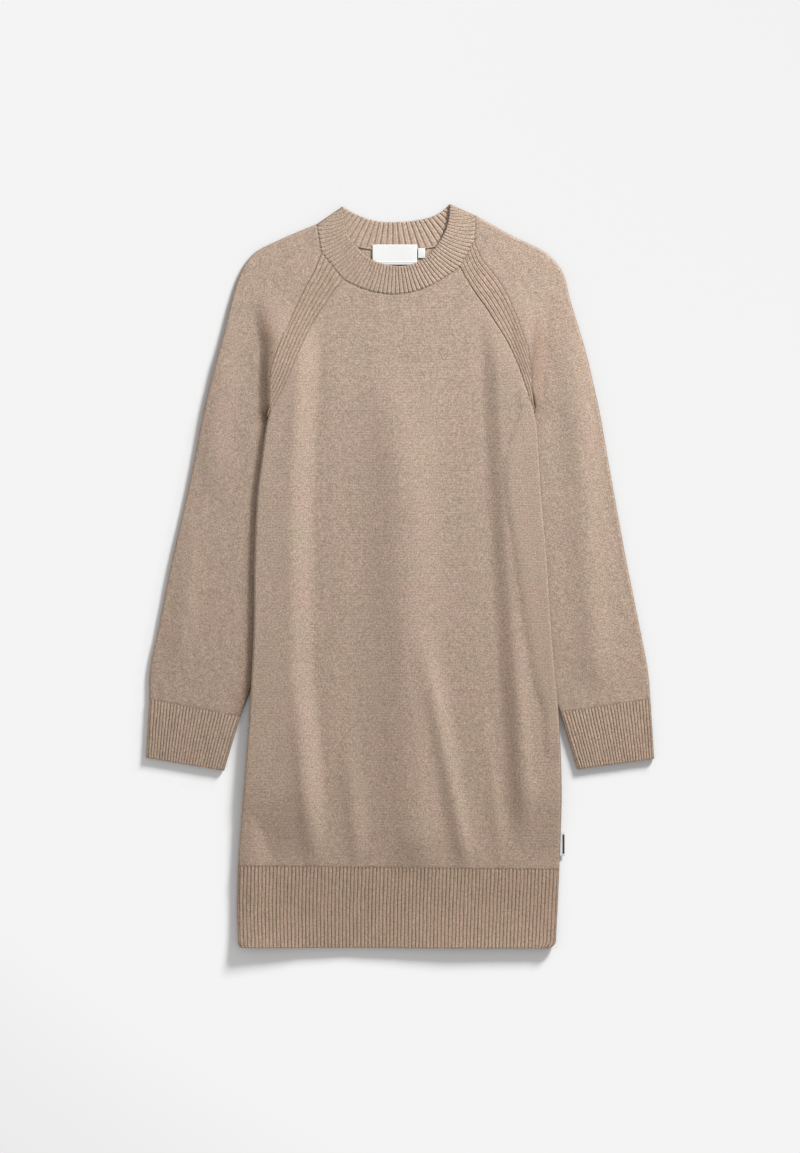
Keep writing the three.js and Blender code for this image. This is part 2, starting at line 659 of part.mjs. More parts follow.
// Neckband: a ring round the neck opening. Its front half lies on top and shows its outside; its
// back half lies under and shows its inside.
function neckband() {
  const freeFront = curveThrough(NECK_FREE_FRONT).evenly;
  const leaning = (t) => {
    const { share, ends } = NECK_LEAN;
    return t + share * (1 - 2 * t) * smooth(0, ends, t) * smooth(1, 1 - ends, t);
  };
  const halves = {
    front: { free: (t) => freeFront(leaning(t)), seam: evenlyAlong(neckSeam(true)) },
    back: { free: curveThrough(NECK_FREE_BACK).evenly, seam: evenlyAlong(neckSeam(false)) },
  };
  const outer = BAND_COLUMNS.map(() => []);
  const inner = BAND_COLUMNS.map(() => []);
  const planPoint = (half, t, share) => {
    const free = half.free(t);
    const seam = half.seam(t);
    const width = Math.hypot(seam[0] - free[0], seam[1] - free[1]);
    return mix(free, seam, share * (1 - SEAM / 2 / width));
  };
  const addHalf = (half, ribs, isFront) => {
    const inset = FOLD_RADIUS / NECK_HALF_LENGTH;
    for (let i = 0; i <= 2 * ribs; i += 1) {
      const share = i / (2 * ribs);
      const t = isFront ? share : 1 - share;
      const place = inset + (1 - 2 * inset) * t;
      const rib = i % 2 === 1 ? RIB_RISE : 0;
      BAND_COLUMNS.forEach((across, r) => {
        const plan = planPoint(half, place, across);
        const open = Math.sin(Math.PI * t) ** NECK_EDGE_POWER * (1 - across) * NECK_EDGE_RISE;
        const base = isFront ? WALL + AIR + open : 0;
        const top = [...plan, base + WALL + rib];
        const bottom = [...plan, base];
        outer[r].push(isFront ? top : bottom);
        inner[r].push(isFront ? bottom : top);
      });
    }
  };
  const addFold = (t, [dx, dy]) => {
    for (let step = CURL_STEPS - 1; step > -CURL_STEPS; step -= 1) {
      const angle = (step / CURL_STEPS) * (Math.PI / 2);
      const bend = (target, row, radius, across) => {
        const [x, y] = planPoint(halves.front, t, across);
        const out = radius * Math.cos(angle) - FOLD_RADIUS;
        target[row].push([x + dx * out, y + dy * out, FOLD_RADIUS + radius * Math.sin(angle)]);
      };
      BAND_COLUMNS.forEach((across, r) => {
        bend(outer, r, FOLD_RADIUS, across);
        bend(inner, r, FOLD_RADIUS - WALL, across);
      });
    }
  };
  addHalf(halves.front, NECK_RIBS_FRONT, true);
  addFold(1, NECK_FOLD.right);
  addHalf(halves.back, NECK_RIBS_BACK, false);
  outer.forEach((row) => row.reverse());
  inner.forEach((row) => row.reverse());
  addFold(0, NECK_FOLD.left);
  return wall(outer, inner, true);
}

// A flat label
function label({ x, y }, bottom) {
  const geometry = new THREE.BoxGeometry(x[1] - x[0], y[1] - y[0], LABEL_THICKNESS);
  geometry.translate((x[0] + x[1]) / 2, (y[0] + y[1]) / 2, bottom + LABEL_THICKNESS / 2);
  return geometry;
}

// The tab in the right side seam, level with the seam
function sideTab() {
  const edge = BODY.map((row) => row.right);
  const [low, high] = SIDE_TAB.y;
  const shape = new THREE.Shape();
  shape.moveTo(xAtHeight(edge, low) + SEAM, low);
  shape.lineTo(SIDE_TAB.outerX, low);
  shape.lineTo(SIDE_TAB.outerX, high);
  shape.lineTo(xAtHeight(edge, high) + SEAM, high);
  shape.closePath();
  const geometry = new THREE.ExtrudeGeometry(shape, { depth: LABEL_THICKNESS, bevelEnabled: false });
  geometry.translate(0, 0, (STACK - LABEL_THICKNESS) / 2);
  return geometry;
}

const dress = new THREE.Group();

function add(name, geometry, color, roughness = 0.95) {
  const mesh = new THREE.Mesh(geometry, material(color, roughness));
  mesh.name = name;
  dress.add(mesh);
}

add("front", bodyPanel(true), JERSEY_COLOUR);
add("back", bodyPanel(false), JERSEY_COLOUR);
add("hem_front", hemPanel(true), RIB_COLOUR);
add("hem_back", hemPanel(false), RIB_COLOUR);
add("neckband", neckband(), RIB_COLOUR);
for (const side of ["left", "right"]) {
  add(`sleeve_${side}`, sleeve(side), JERSEY_COLOUR);
  add(`cuff_${side}`, cuff(side), RIB_COLOUR);
  add(`raglan_front_${side}`, raglanFront(side), RIB_COLOUR);
  add(`raglan_back_${side}`, raglanBack(side), RIB_COLOUR);
}
const labelBottom = WALL + RIB_RISE + SIDE_SLIT;
add("neck_label", label(NECK_LABEL, labelBottom), LABEL_COLOUR, 0.7);
add("size_tab", label(SIZE_TAB, labelBottom), LABEL_COLOUR, 0.7);
add("side_tab", sideTab(), LABEL_COLOUR, 0.7);

export default dress;
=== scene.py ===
"""A knitted raglan dress laid flat, front up, with ribbed bands, labels and sewing.

Lengths in the tables are millimetres in the frame's axes; meshes are made in metres. Every wall
is a grid of points, rows from the neck down and columns across, with an outside and an inside.
"""

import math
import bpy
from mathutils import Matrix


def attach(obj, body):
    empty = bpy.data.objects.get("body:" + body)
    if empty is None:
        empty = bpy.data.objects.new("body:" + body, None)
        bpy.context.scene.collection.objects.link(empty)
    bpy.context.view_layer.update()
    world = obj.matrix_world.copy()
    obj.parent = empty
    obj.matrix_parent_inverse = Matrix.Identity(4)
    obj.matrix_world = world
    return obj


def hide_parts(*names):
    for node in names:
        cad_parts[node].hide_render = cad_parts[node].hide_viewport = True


bl_info = {
    "name": "Knitted Raglan Dress",
    "version": (1, 0, 0),
    "blender": (4, 5, 0),
    "location": "View3D > Sidebar > Dress",
    "description": "Builds a knitted raglan dress laid flat on a pale floor",
    "category": "Add Mesh",
}

import bpy
import numpy as np
from mathutils import Vector

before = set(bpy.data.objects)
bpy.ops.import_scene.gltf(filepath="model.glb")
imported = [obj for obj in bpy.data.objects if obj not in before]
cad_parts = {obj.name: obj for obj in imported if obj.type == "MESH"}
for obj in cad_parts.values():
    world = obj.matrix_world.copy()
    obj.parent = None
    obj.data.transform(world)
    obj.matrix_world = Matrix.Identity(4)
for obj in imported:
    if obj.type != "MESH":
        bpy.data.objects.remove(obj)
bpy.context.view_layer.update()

MM = 0.001

# The photograph's frame
PHOTO_PIXELS = (800, 1153)
MM_PER_PIXEL = 1.2
CAMERA_HEIGHT = 4.0
SENSOR = 36.0

# Two layers of cloth with air between them; the gap at a seam, and the slit that is left between
# the layers where they meet at a folded edge
WALL = 2.4
AIR = 0.6
STACK = 2 * WALL + AIR
SEAM = 0.1
SLIT = 0.2

# Left and right as seen from above, and the sign of x there
SIDES = ("left", "right")
SIGN = {"left": -1, "right": 1}

# The body's sides lie on the sleeves' inner edges: how high that lifts them, the width over which
# it eases out, and how far inside the edge of the sleeve the body is lifted in full
LIFT = STACK + 0.45
LIFT_RAMP = 34.0
LIFT_MARGIN = 10.0

# Where that lift begins, as y: at the underarms, and for the hidden back a little above them. It
# is full down to the cuffs and gone at the side's own level below them
UNDERARM = {"left": 198.0, "right": 206.0}
BACK_LIFTED = 34.0
CUFF_LEVEL = {"full": -200.0, "left": -560.0, "right": -262.0}

# The crease beside a sleeve above the underarm: where it begins and is full, as y, how much of
# the lift the front has there, and how wide the drop to the sleeve is
CREASE_LEVEL = {"none": 345.0, "full": 275.0}
UPPER_LIFT = 0.8
CREASE_WIDTH = 14.0

# Share of a rib's height at which a band is level where it turns round a fold
LEVEL_ARCH = 0.8

# Ribs of each band; the neckband has them by half
HEM_RIBS = 86
CUFF_RIBS = 27
RAGLAN_RIBS = 6
NECK_RIBS = {"front": 54, "back": 26}

# Form of the ribs: how unevenly they run; how high their tops and how low their hollows lie, in
# rib rises; how deep the seam is; the painted light in their hollows, what their tops add to
# it, and the share of it that the seam takes (painted shade). Hem and cuffs have the edge form
RAGLAN_FORM = {"uneven": 0.03, "top": 0.65, "hollow": 0.15, "seam": 0.6, "shade": 0.4}
RIBS = {
    "edge": {
        "uneven": 0.05, "top": 1.4, "hollow": 0.4, "seam": 0.6,
        "dark": 0.1, "light": 0.9, "shade": 0.5,
    },
    # Painted light and shade: the left and the right raglan band are painted with different
    # contrast
    "raglan_left": {**RAGLAN_FORM, "dark": 0.12, "light": 0.8},
    "raglan_right": {**RAGLAN_FORM, "dark": 0.26, "light": 0.56},
    "neck": {
        "uneven": 0.03, "top": 1.2, "hollow": 0.4, "seam": 1.0,
        "dark": 0.45, "light": 0.55, "shade": 0.6,
    },
}

# Knit stitches: width of a wale and height of a course
WALE = 2.45
COURSE = 1.9

# Raglan lines from neck to underarm: seam with the front, seam with the sleeve, fold of the arm
RAGLAN = {
    "left": [
        {"body": (-68.2, 355.8), "sleeve": (-94.0, 387.1), "fold": (-100.2, 421.8)},
        {"body": (-80.0, 340.8), "sleeve": (-103.5, 364.0), "fold": (-144.0, 403.2)},
        {"body": (-90.0, 326.3), "sleeve": (-114.0, 345.0), "fold": (-176.5, 385.5)},
        {"body": (-99.5, 312.0), "sleeve": (-122.5, 327.0), "fold": (-191.5, 362.0)},
        {"body": (-111.5, 290.5), "sleeve": (-133.0, 302.0), "fold": (-201.6, 331.2)},
        {"body": (-124.5, 261.8), "sleeve": (-146.6, 272.3), "fold": (-213.6, 283.2)},
        {"body": (-137.5, 231.0), "sleeve": (-155.2, 240.0), "fold": (-222.5, 252.0)},
        {"body": (-151.4, 204.5), "sleeve": (-155.7, 203.0), "fold": (-231.2, 217.0)},
    ],
    "right": [
        {"body": (71.8, 370.9), "sleeve": (89.0, 400.6), "fold": (90.8, 432.2)},
        {"body": (81.0, 354.0), "sleeve": (97.0, 381.0), "fold": (132.0, 409.2)},
        {"body": (91.5, 337.5), "sleeve": (109.0, 365.5), "fold": (176.5, 386.0)},
        {"body": (101.0, 324.5), "sleeve": (118.7, 352.7), "fold": (195.0, 364.0)},
        {"body": (114.5, 303.5), "sleeve": (131.0, 331.0), "fold": (204.0, 331.2)},
        {"body": (129.0, 280.0), "sleeve": (143.5, 299.2), "fold": (213.5, 300.0)},
        {"body": (140.5, 254.5), "sleeve": (154.5, 266.0), "fold": (223.0, 268.0)},
        {"body": (153.0, 220.5), "sleeve": (158.4, 219.5), "fold": (234.0, 221.0)},
    ],
}

# Where the raglan band ends, tucked in below the body's edge at the underarm, and how far down
RAGLAN_TUCK = {
    "left": ((-154.0, 193.0), (-160.5, 190.0)),
    "right": ((156.0, 200.0), (162.5, 197.0)),
}
RAGLAN_TUCK_DROP = 3.2

# How close the band's covered columns lie, and the share of its width left free beside the hidden
# back band
COVERED_STEP = 0.02
BACK_GAP = 0.01

# Widths of the raglan band at the neck and at the underarm, where nothing covers it
RAGLAN_WIDTHS = {"left": (32.0, 21.0), "right": (31.0, 17.0)}

# Ends of the hidden back raglan lines, at the neck and at the underarm
RAGLAN_BACK = {
    "left": {"body": ((-58, 395), (-151.4, 204.5)), "sleeve": ((-82, 407), (-155.7, 203.0))},
    "right": {"body": ((55, 397), (153.0, 220.5)), "sleeve": ((76, 411), (158.4, 219.5))},
}

# Side edges of the body, from underarm to hem seam
BODY = [
    {"left": (-155.2, 198.5), "right": (157.4, 207.0)},
    {"left": (-157.4, 192.0), "right": (160.2, 198.0)},
    {"left": (-160.8, 175.0), "right": (164.4, 176.0)},
    {"left": (-165.6, 139.0), "right": (166.9, 139.0)},
    {"left": (-170.4, 103.0), "right": (169.0, 103.0)},
    {"left": (-174.4, 19.0), "right": (176.3, 19.0)},
    {"left": (-175.4, -68.0), "right": (181.8, -68.0)},
    {"left": (-180.0, -157.0), "right": (189.4, -157.0)},
    {"left": (-187.6, -257.0), "right": (193.8, -257.0)},
    {"left": (-194.4, -347.3), "right": (191.0, -351.8)},
]

# Side edges of the hem rib, and its rounded lower corners: how far a corner is pulled in, how
# high it is, and how far along the edge the ribs bend with it
HEM = [
    {"left": (-194.4, -347.7), "right": (191.0, -352.2)},
    {"left": (-195.5, -400.0), "right": (188.9, -398.0)},
    {"left": (-194.4, -432.0), "right": (187.2, -430.0)},
    {"left": (-193.9, -445.2), "right": (186.4, -446.0)},
]
HEM_HEIGHT = 98.0
HEM_CORNER = {
    "left": {"pull": 6.5, "height": 12.0, "reach": 18.0},
    "right": {"pull": 10.0, "height": 19.0, "reach": 26.0},
}

# How far the hem's lower edge stands off the floor, by x, and how far up that reaches
HEM_CURL = [(-195, 5.5), (-150, 5.5), (-110, 2.5), (-60, 1.0), (0, 2.5), (60, 4.5), (190, 3.5)]
HEM_CURL_FROM = -385.0

# Sleeves below the underarm: the folded edge with the seam, and the fold of the arm
ARM = {
    "left": [
        {"inner": (-158.8, 193.5), "outer": (-234.8, 203.0)},
        {"inner": (-155.4, 180.0), "outer": (-239.3, 180.0)},
        {"inner": (-141.0, 136.0), "outer": (-248.0, 134.0)},
        {"inner": (-143.5, 90.0), "outer": (-257.5, 89.0)},
        {"inner": (-155.0, 20.0), "outer": (-273.4, 20.0)},
        {"inner": (-168.0, -68.0), "outer": (-291.0, -68.0)},
        {"inner": (-177.5, -130.0), "outer": (-300.0, -112.0)},
        {"inner": (-191.5, -168.6), "outer": (-300.8, -147.8)},
    ],
    "right": [
        {"inner": (161.6, 202.0), "outer": (236.8, 209.5)},
        {"inner": (158.0, 187.0), "outer": (241.2, 187.0)},
        {"inner": (143.0, 140.0), "outer": (249.6, 138.0)},
        {"inner": (145.5, 92.0), "outer": (257.8, 92.0)},
        {"inner": (156.5, 20.0), "outer": (271.0, 20.0)},
        {"inner": (169.0, -68.0), "outer": (288.6, -68.0)},
        {"inner": (179.5, -130.0), "outer": (297.2, -114.0)},
        {"inner": (191.6, -163.8), "outer": (300.2, -147.8)},
    ],
}
CUFF_END = {
    "left": {"inner": (-211.0, -233.6), "outer": (-304.7, -217.8)},
    "right": {"inner": (212.3, -231.8), "outer": (304.7, -219.3)},
}

# Creases where the sleeves drop from the body's level
CREASE = {
    "left": [(-165.6, 339.6), (-158.4, 295.2), (-155.4, 277.2), (-155.4, 211.0)],
    "right": [(168.0, 333.6), (162.0, 283.2), (158.6, 235.2), (158.2, 220.0)],
}

# The neckband's free edge, from one shoulder to the other
NECK_FREE_FRONT = [
    (-69.6, 442.8), (-64.6, 415.4), (-51.7, 393.7), (-33.2, 378.8), (0, 371.4),
    (24.1, 377.6), (41.8, 392.9), (56.3, 419.4), (60.2, 445.9),
]
NECK_FREE_BACK = [
    (-69.6, 442.8), (-51.7, 433.1), (-27.6, 425.4), (0, 424.6),
    (24.1, 427.4), (45, 433.9), (60.2, 445.9),
]

# Sag of the neck seam, a parabola between the raglan bands; how far the front's free edge gapes
NECK_SAG = {"front": 25.0, "back": 6.6}
NECK_EDGE_RISE = 2.0
NECKBAND_WIDTH = 34.0

# Towards the shoulders the front's ribs reach the free edge this share of it lower down
NECK_LEAN = 0.09

# Half of the ring all round, and the way that its fold points at each shoulder
NECK_RING_HALF = 300.0
NECK_PEAK = {"left": (-0.8, 0.6), "right": (0.83, 0.55)}

# The front's sides stand higher than its middle: how far from the middle the slope lies, half its
# width, how high it rises, and the levels between which it does
SIDE_SLOPE = [
    {"y": 330, "left": 104, "right": 104},
    {"y": 131, "left": 116, "right": 113},
    {"y": -109, "left": 117, "right": 127},
    {"y": -345, "left": 97, "right": 142},
]
SIDE_SLOPE_HALF = {"left": 16.0, "right": 11.0}
SIDE_RISE = {"left": 7.2, "right": 4.6}
SIDE_SPAN = {"top": 330.0, "full": 240.0, "fading": -250.0, "none": -345.0}

# Folds: a ridge from one end to the other, with its half width and height; each rises over a
# length to both sides of its first end and falls over a stretch before and after its last one
FRONT_FOLDS = [
    {"start": (-114, -160), "end": (-104, -345), "width": 13, "height": 2.6},
    {"start": (-60, -230), "end": (-50, -345), "width": 11, "height": 2.2},
    {"start": (-2, 200), "end": (18, -345), "width": 31, "height": 5.0},
    {"start": (34, -110), "end": (79, -345), "width": 11, "height": 3.4},
    {"start": (104, -200), "end": (122, -345), "width": 9, "height": 1.0},
    {"start": (140, -90), "end": (152, -290), "width": 10, "height": 2.0},
]
SLEEVE_FOLDS = [
    {"start": (-208, 300), "end": (-228, 110), "width": 16, "height": 2.4},
    {"start": (-250, 40), "end": (-266, -110), "width": 15, "height": 2.2},
    {"start": (208, 260), "end": (236, -130), "width": 18, "height": 3.6},
]
FOLD_RISE = 70.0
FOLD_FALL = {"before": 40.0, "after": 20.0}

# Labels: their edges, the height of their middle and their thickness. The neck label's lower end
# is folded at a level. The side tab begins at the body's edge, and the strip on it is plain
NECK_LABEL = {"x": (-32.9, 20.4), "y": (373.2, 397.4), "z": 3.85, "thick": 0.42, "folded": 376.4}
SIZE_TAB = {"x": (21.6, 30.1), "y": (381.2, 392.9), "z": 3.75, "thick": 0.36}
SIDE_TAB = {"x": (None, 197.6), "y": (-336.0, -307.0), "z": STACK / 2, "thick": 0.5}
TAB_STRIP = {"x": (194.8, 197.3), "y": (-333.0, -310.0), "above": 0.27, "thick": 0.16}

# The stage, in metres: half of the floor's side and its level, its lines each way and how much
# they crowd to the middle; where the key light stands and how wide it is; how bright the floor
# looks, and its darkest and lightest paper
FLOOR_HALF = 5.0
FLOOR_LEVEL = -0.0001
FLOOR_LINES = 121
FLOOR_CROWDING = 3
KEY_PLACE = (1.44, 2.02, 1.10)
KEY_WIDTH = 0.6
FLOOR_BRIGHT = 0.913
PAPER = (0.2, 0.95)

# Painted shade: light a sleeve loses in the crease beside the body, above and below the underarm,
# and how wide that painted shade is away from the body and towards it
CREASE_SHADE = {
    "left": {"above": 0.85, "below": 0.6, "away": 10.0, "towards": 6.0},
    "right": {"above": 0.5, "below": 0.1, "away": 18.0, "towards": 3.0},
}

# Painted light: how much lighter the ribs of each cuff are painted, for the light they catch
CUFF_PAINTED_LIGHT = {"left": 1.2, "right": 1.12}

# Painted warm shade: how much warmer the cloth is painted towards the hem, for each metre
PAINTED_WARM_SHADE_DOWN = 0.5

# Small uneven waves of the cloth: how many there are, and how high in the jersey and in the ribs
WAVE_COUNT = 14
JERSEY_WAVES = 0.13
RIB_WAVES = 0.1

# The way to the key light in plan. Painted light and shade on the brushed knit: how much lighter
# it is painted where it is seen edge on, on edges away from the light and towards it, and how
# much painted light it gets on slopes that face the light, up to the steepest slope that counts
LIGHT_WAY = (0.58, 0.81)
EDGE_PAINTED_LIGHT = {"away": 0.55, "towards": -1.0}
SLOPE_PAINTED_LIGHT = 0.8
SLOPE_PAINTED_LIMIT = 0.4

# Patterns of the heather: how fine each one is, in turns of the noise for each metre or, for the
# streaks, for each wale, and how many finer turns it has
HEATHER = {
    "blotch": {"scale": 42.0, "detail": 3.0},
    "cloud": {"scale": 17.0, "detail": 2.0, "stretch": (1.2, 1, 1)},
    "streak": {"scale": 0.8, "detail": 2.0, "stretch": (1.0, 0.3, 1.0)},
    "speck": {"scale": 620.0, "detail": 2.0, "stretch": (1, 0.8, 1)},
    "fleck": {"scale": 700.0, "detail": 1.0},
    "bloom": {"scale": 1500.0, "detail": 1.0},
}

# How much the blotches lighten and darken the heather; the shares of the fibre contrast that its
# streaks and flecks have; and the height of a stitch, 0 to 1, that keeps its brightness
BLOTCH_LIGHT = 0.06
STREAK_SHARE = 0.05
FLECK_SHARE = 0.2
STITCH_MIDDLE = 0.55

# Spans: of the noise where flecks show and where the tint changes, of the relief from a deep place
# to an open one, and of an edge's slope away from the key light and towards it
SPANS = {"fleck": (0.58, 0.74), "tint": (0.36, 0.64), "depth": (0.2, 1.08), "edge": (-0.2, 0.2)}

# Tints of the heather: its greener and pinker blotches, and, as painted warm shade, its deep and
# its open places
TINTS = {
    "green": (0.99, 1.008, 0.985),
    "pink": (1.016, 0.986, 0.998),
    "deep": (1.04, 0.975, 0.9),
    "open": (0.995, 1.005, 1.02),
}

# How far the legs of a stitch lean, in courses
STITCH_LEAN = {"jersey": 1.1, "rib": 1.4}

# How fine the labels' threads are across and down
WEAVE = {"X": 900.0, "Y": 630.0}

# Small stitches: their length, width and height, and how far their middle is sunk in the cloth.
# Rib heads lie below the seam, the shaping marks beside it at an angle, all a little unevenly
HEADS = {"size": (2.8, 2.1, 1.5), "sunk": 0.15, "below": 0.4, "vary": 0.25, "turn": 0.15}
MARKS = {
    "size": (4.4, 1.7, 1.5), "sunk": 0.3, "apart": 4.6, "beside": 2.4, "lean": 24, "vary": 0.08,
}
NECK_STITCH = {"width": 0.9, "height": 0.9, "sunk": 1.35, "share": 0.95}

# The ridge of the back neck seam: its reach from the middle, its width and height, how far it
# lies above the seam and over the cloth, and how far it weaves
BACK_RIDGE = {"reach": 52, "width": 2.2, "height": 1.4, "above": 1.2, "raised": 0.5, "weave": 0.25}

# Loose fibres: how much their lengths spread, the longest one, how much they bend, how close
# they come to the floor, and how thick they are along the edges and on the surface
FIBRES = {
    "spread": 0.35, "longest": 4.0, "bend": 0.25, "floor": 0.02, "edge": 0.07, "surface": 0.06,
}

# Seeds of the random draws
SEEDS = {
    "front": 3, "hem": 5, "cuff": 7, "raglan": 9, "sleeve_left": 11, "sleeve_right": 13,
    "neck": 15, "marks": 21, "fibres": 31, "edge_fibres": 32, "surface_fibres": 33,
}

# Outsides of the finished front and sleeves, on which loose fibres lie
FIBRE_GROUND = {}


def smooth(low, high, value):
    """0 at low and 1 at high, with a cubic ease between; low may be above high."""
    t = np.clip((value - low) / (high - low), 0.0, 1.0)
    return t * t * (3.0 - 2.0 * t)


def mix(a, b, t):
    """The point a share t of the way from a to b."""
    a = np.asarray(a, float)
    b = np.asarray(b, float)
    return a + (b - a) * t


def curve(points, t):
    """A centripetal Catmull-Rom curve through points; t gives each span an equal step."""
    p = np.asarray(points, float)
    p = np.vstack([2 * p[0] - p[1], p, 2 * p[-1] - p[-2]])
    spans = len(points) - 1
    place = np.clip(np.asarray(t, float) * spans, 0, spans)
    i = np.minimum(place.astype(int), spans - 1)
    w = (place - i)[..., None]
    a, b, c, d = (p[i + k] for k in range(4))

    def root(m, n):
        return np.maximum(np.linalg.norm(n - m, axis=-1, keepdims=True) ** 0.5, 1e-4)

    d0, d1, d2 = root(a, b), root(b, c), root(c, d)
    out = ((b - a) / d0 - (c - a) / (d0 + d1) + (c - b) / d1) * d1
    into = ((c - b) / d1 - (d - b) / (d1 + d2) + (d - c) / d2) * d1
    cubic = 2 * (b - c) + out + into
    return b + out * w + (3 * (c - b) - 2 * out - into) * w**2 + cubic * w**3


def along(points, share):
    """The point at a share of the length of a line through points."""
    p = np.asarray(points, float)
    steps = np.linalg.norm(np.diff(p, axis=0), axis=1)
    reach = np.concatenate([[0.0], np.cumsum(steps)])
    want = np.asarray(share, float) * reach[-1]
    return np.stack([np.interp(want, reach, p[:, k]) for k in range(2)], axis=-1)


def column(table, name):
    """One column of a table, as an array of points."""
    return np.array([row[name] for row in table], float)


def x_at_height(rows, y):
    """The x of a line at a height y; the line's y falls from row to row."""
    rows = np.asarray(rows, float)
    return np.interp(y, rows[::-1, 1], rows[::-1, 0])


def by_side(x, value):
    """value("left") where x is negative and value("right") elsewhere."""
    return np.where(x < 0, value("left"), value("right"))


def crease_line(side):
    """The line beside which the body's side lies on a sleeve: its crease, then its inner edge."""
    return np.vstack([CREASE[side], column(ARM[side], "inner")])


def back_rise(side, y):
    """Share of the lift that the back has: eased in at the underarm and out below the cuff."""
    above = smooth(UNDERARM[side] + BACK_LIFTED, UNDERARM[side], y)
    return above * smooth(CUFF_LEVEL[side], CUFF_LEVEL["full"], y)


def front_rise(side, y):
    """Share of the lift that the front has: most of it already beside the crease above."""
    upper = UPPER_LIFT * smooth(CREASE_LEVEL["none"], CREASE_LEVEL["full"], y)
    upper = upper + (1 - UPPER_LIFT) * back_rise(side, y)
    return np.where(y < UNDERARM[side], back_rise(side, y), upper)


def lift(x, y, rise):
    """How far the body is lifted: in full beyond the sleeve's inner edge, eased to none inside."""

    def one(side):
        full = np.abs(x_at_height(crease_line(side), y)) - LIFT_MARGIN
        return LIFT * rise(side, y) * smooth(full - LIFT_RAMP, full, np.abs(x))

    return by_side(x, one)


def side_rise(x, y):
    """The front's raised sides: an eased step across the slope's line."""
    span = smooth(SIDE_SPAN["top"], SIDE_SPAN["full"], y)
    span = span * smooth(SIDE_SPAN["none"], SIDE_SPAN["fading"], y)

    def one(side):
        centre = x_at_height([(row[side], row["y"]) for row in SIDE_SLOPE], y)
        half = SIDE_SLOPE_HALF[side]
        return SIDE_RISE[side] * span * smooth(centre - half, centre + half, np.abs(x))

    return by_side(x, one)


def front_lift(x, y):
    """The higher one of the two: where the front lies on a sleeve, and its raised side."""
    return np.maximum(lift(x, y, front_rise), side_rise(x, y))


def folds(table, x, y):
    """A bell across each ridge, tapered at its ends, added up."""
    height = np.zeros(np.broadcast(x, y).shape)
    for fold in table:
        start = np.array(fold["start"], float)
        run = np.array(fold["end"], float) - start
        length = np.hypot(*run)
        forward = ((x - start[0]) * run[0] + (y - start[1]) * run[1]) / length
        across = ((x - start[0]) * run[1] - (y - start[1]) * run[0]) / length
        rising = smooth(-FOLD_RISE, FOLD_RISE, forward)
        taper = rising * smooth(length + FOLD_FALL["after"], length - FOLD_FALL["before"], forward)
        height = height + fold["height"] * taper * np.exp(-((across / fold["width"]) ** 2))
    return height


def crinkle(x, y, size, seed, longest=60.0, shortest=12.0):
    """Small uneven waves of soft cloth: a sum of sines whose crests run about down the knit."""
    rng = np.random.default_rng(seed)
    total = np.zeros(np.broadcast(x, y).shape)
    for _ in range(WAVE_COUNT):
        length = shortest * (longest / shortest) ** rng.random()
        angle = rng.normal(0.0, 0.5)
        phase = rng.random() * 2 * math.pi
        turn = 2 * math.pi / length
        total = total + np.sin(turn * (x * math.cos(angle) + y * math.sin(angle)) + phase)
    return size * total / math.sqrt(WAVE_COUNT)


def hem_curl(x, y):
    """How far the lower edge of the hem stands off the floor: eased from none further up."""
    at, rise = np.array(HEM_CURL).T
    t = np.clip((HEM_CURL_FROM - y) / (HEM_CURL_FROM - HEM[-1]["left"][1]), 0, 1)
    return np.interp(x, at, rise) * t * t


def back_under(x, y):
    """Level of the back's underside: its lift on the sleeves and the curl of the hem."""
    return lift(x, y, back_rise) + hem_curl(x, y)


def front_under(x, y):
    """Level of the front's underside: a wall and air over the floor, its lift, folds and curl."""
    return WALL + AIR + front_lift(x, y) + folds(FRONT_FOLDS, x, y) + hem_curl(x, y)


def crease_shade(side, x, y):
    """Painted shade: light left on a sleeve beside the body, a bell across the crease."""
    beyond = np.abs(x) - np.abs(x_at_height(crease_line(side), y))
    shade = CREASE_SHADE[side]
    width = np.where(beyond > 0, shade["away"], shade["towards"])
    above = smooth(UNDERARM[side] - BACK_LIFTED, UNDERARM[side], y)
    depth = shade["below"] + (shade["above"] - shade["below"]) * above
    level = smooth(CREASE_LEVEL["none"], CREASE_LEVEL["full"], y)
    return 1 - depth * level * np.exp(-((beyond / width) ** 2))


def sleeve_under(x, y):
    """The upper layer of a sleeve: at the body's level above the underarm, on the floor beyond."""

    def one(side):
        beyond = np.abs(x) - np.abs(x_at_height(CREASE[side], y))
        drop = smooth(CREASE_WIDTH, SEAM, beyond)
        return np.where(y > UNDERARM[side], front_lift(x, y), 0.0) * drop

    return WALL + AIR + by_side(x, one) + folds(SLEEVE_FOLDS, x, y)


def flat_under(x, y):
    """Level of the upper layer of a cuff: a wall and air over the floor."""
    return np.full(np.broadcast(x, y).shape, WALL + AIR)


def outward(verts, faces):
    """Faces turned so that the closed surface has its volume inside."""
    corners = [verts[faces[:, k]] for k in range(faces.shape[1])]
    volume = 0.0
    for b, c in zip(corners[1:], corners[2:]):
        volume += (corners[0] * np.cross(b, c)).sum()
    return faces if volume > 0 else faces[:, ::-1]


def quads(grid):
    """The four corners of each cell of a grid of point numbers."""
    sides = [grid[:-1, :-1], grid[1:, :-1], grid[1:, 1:], grid[:-1, 1:]]
    return np.stack(sides, -1).reshape(-1, 4)


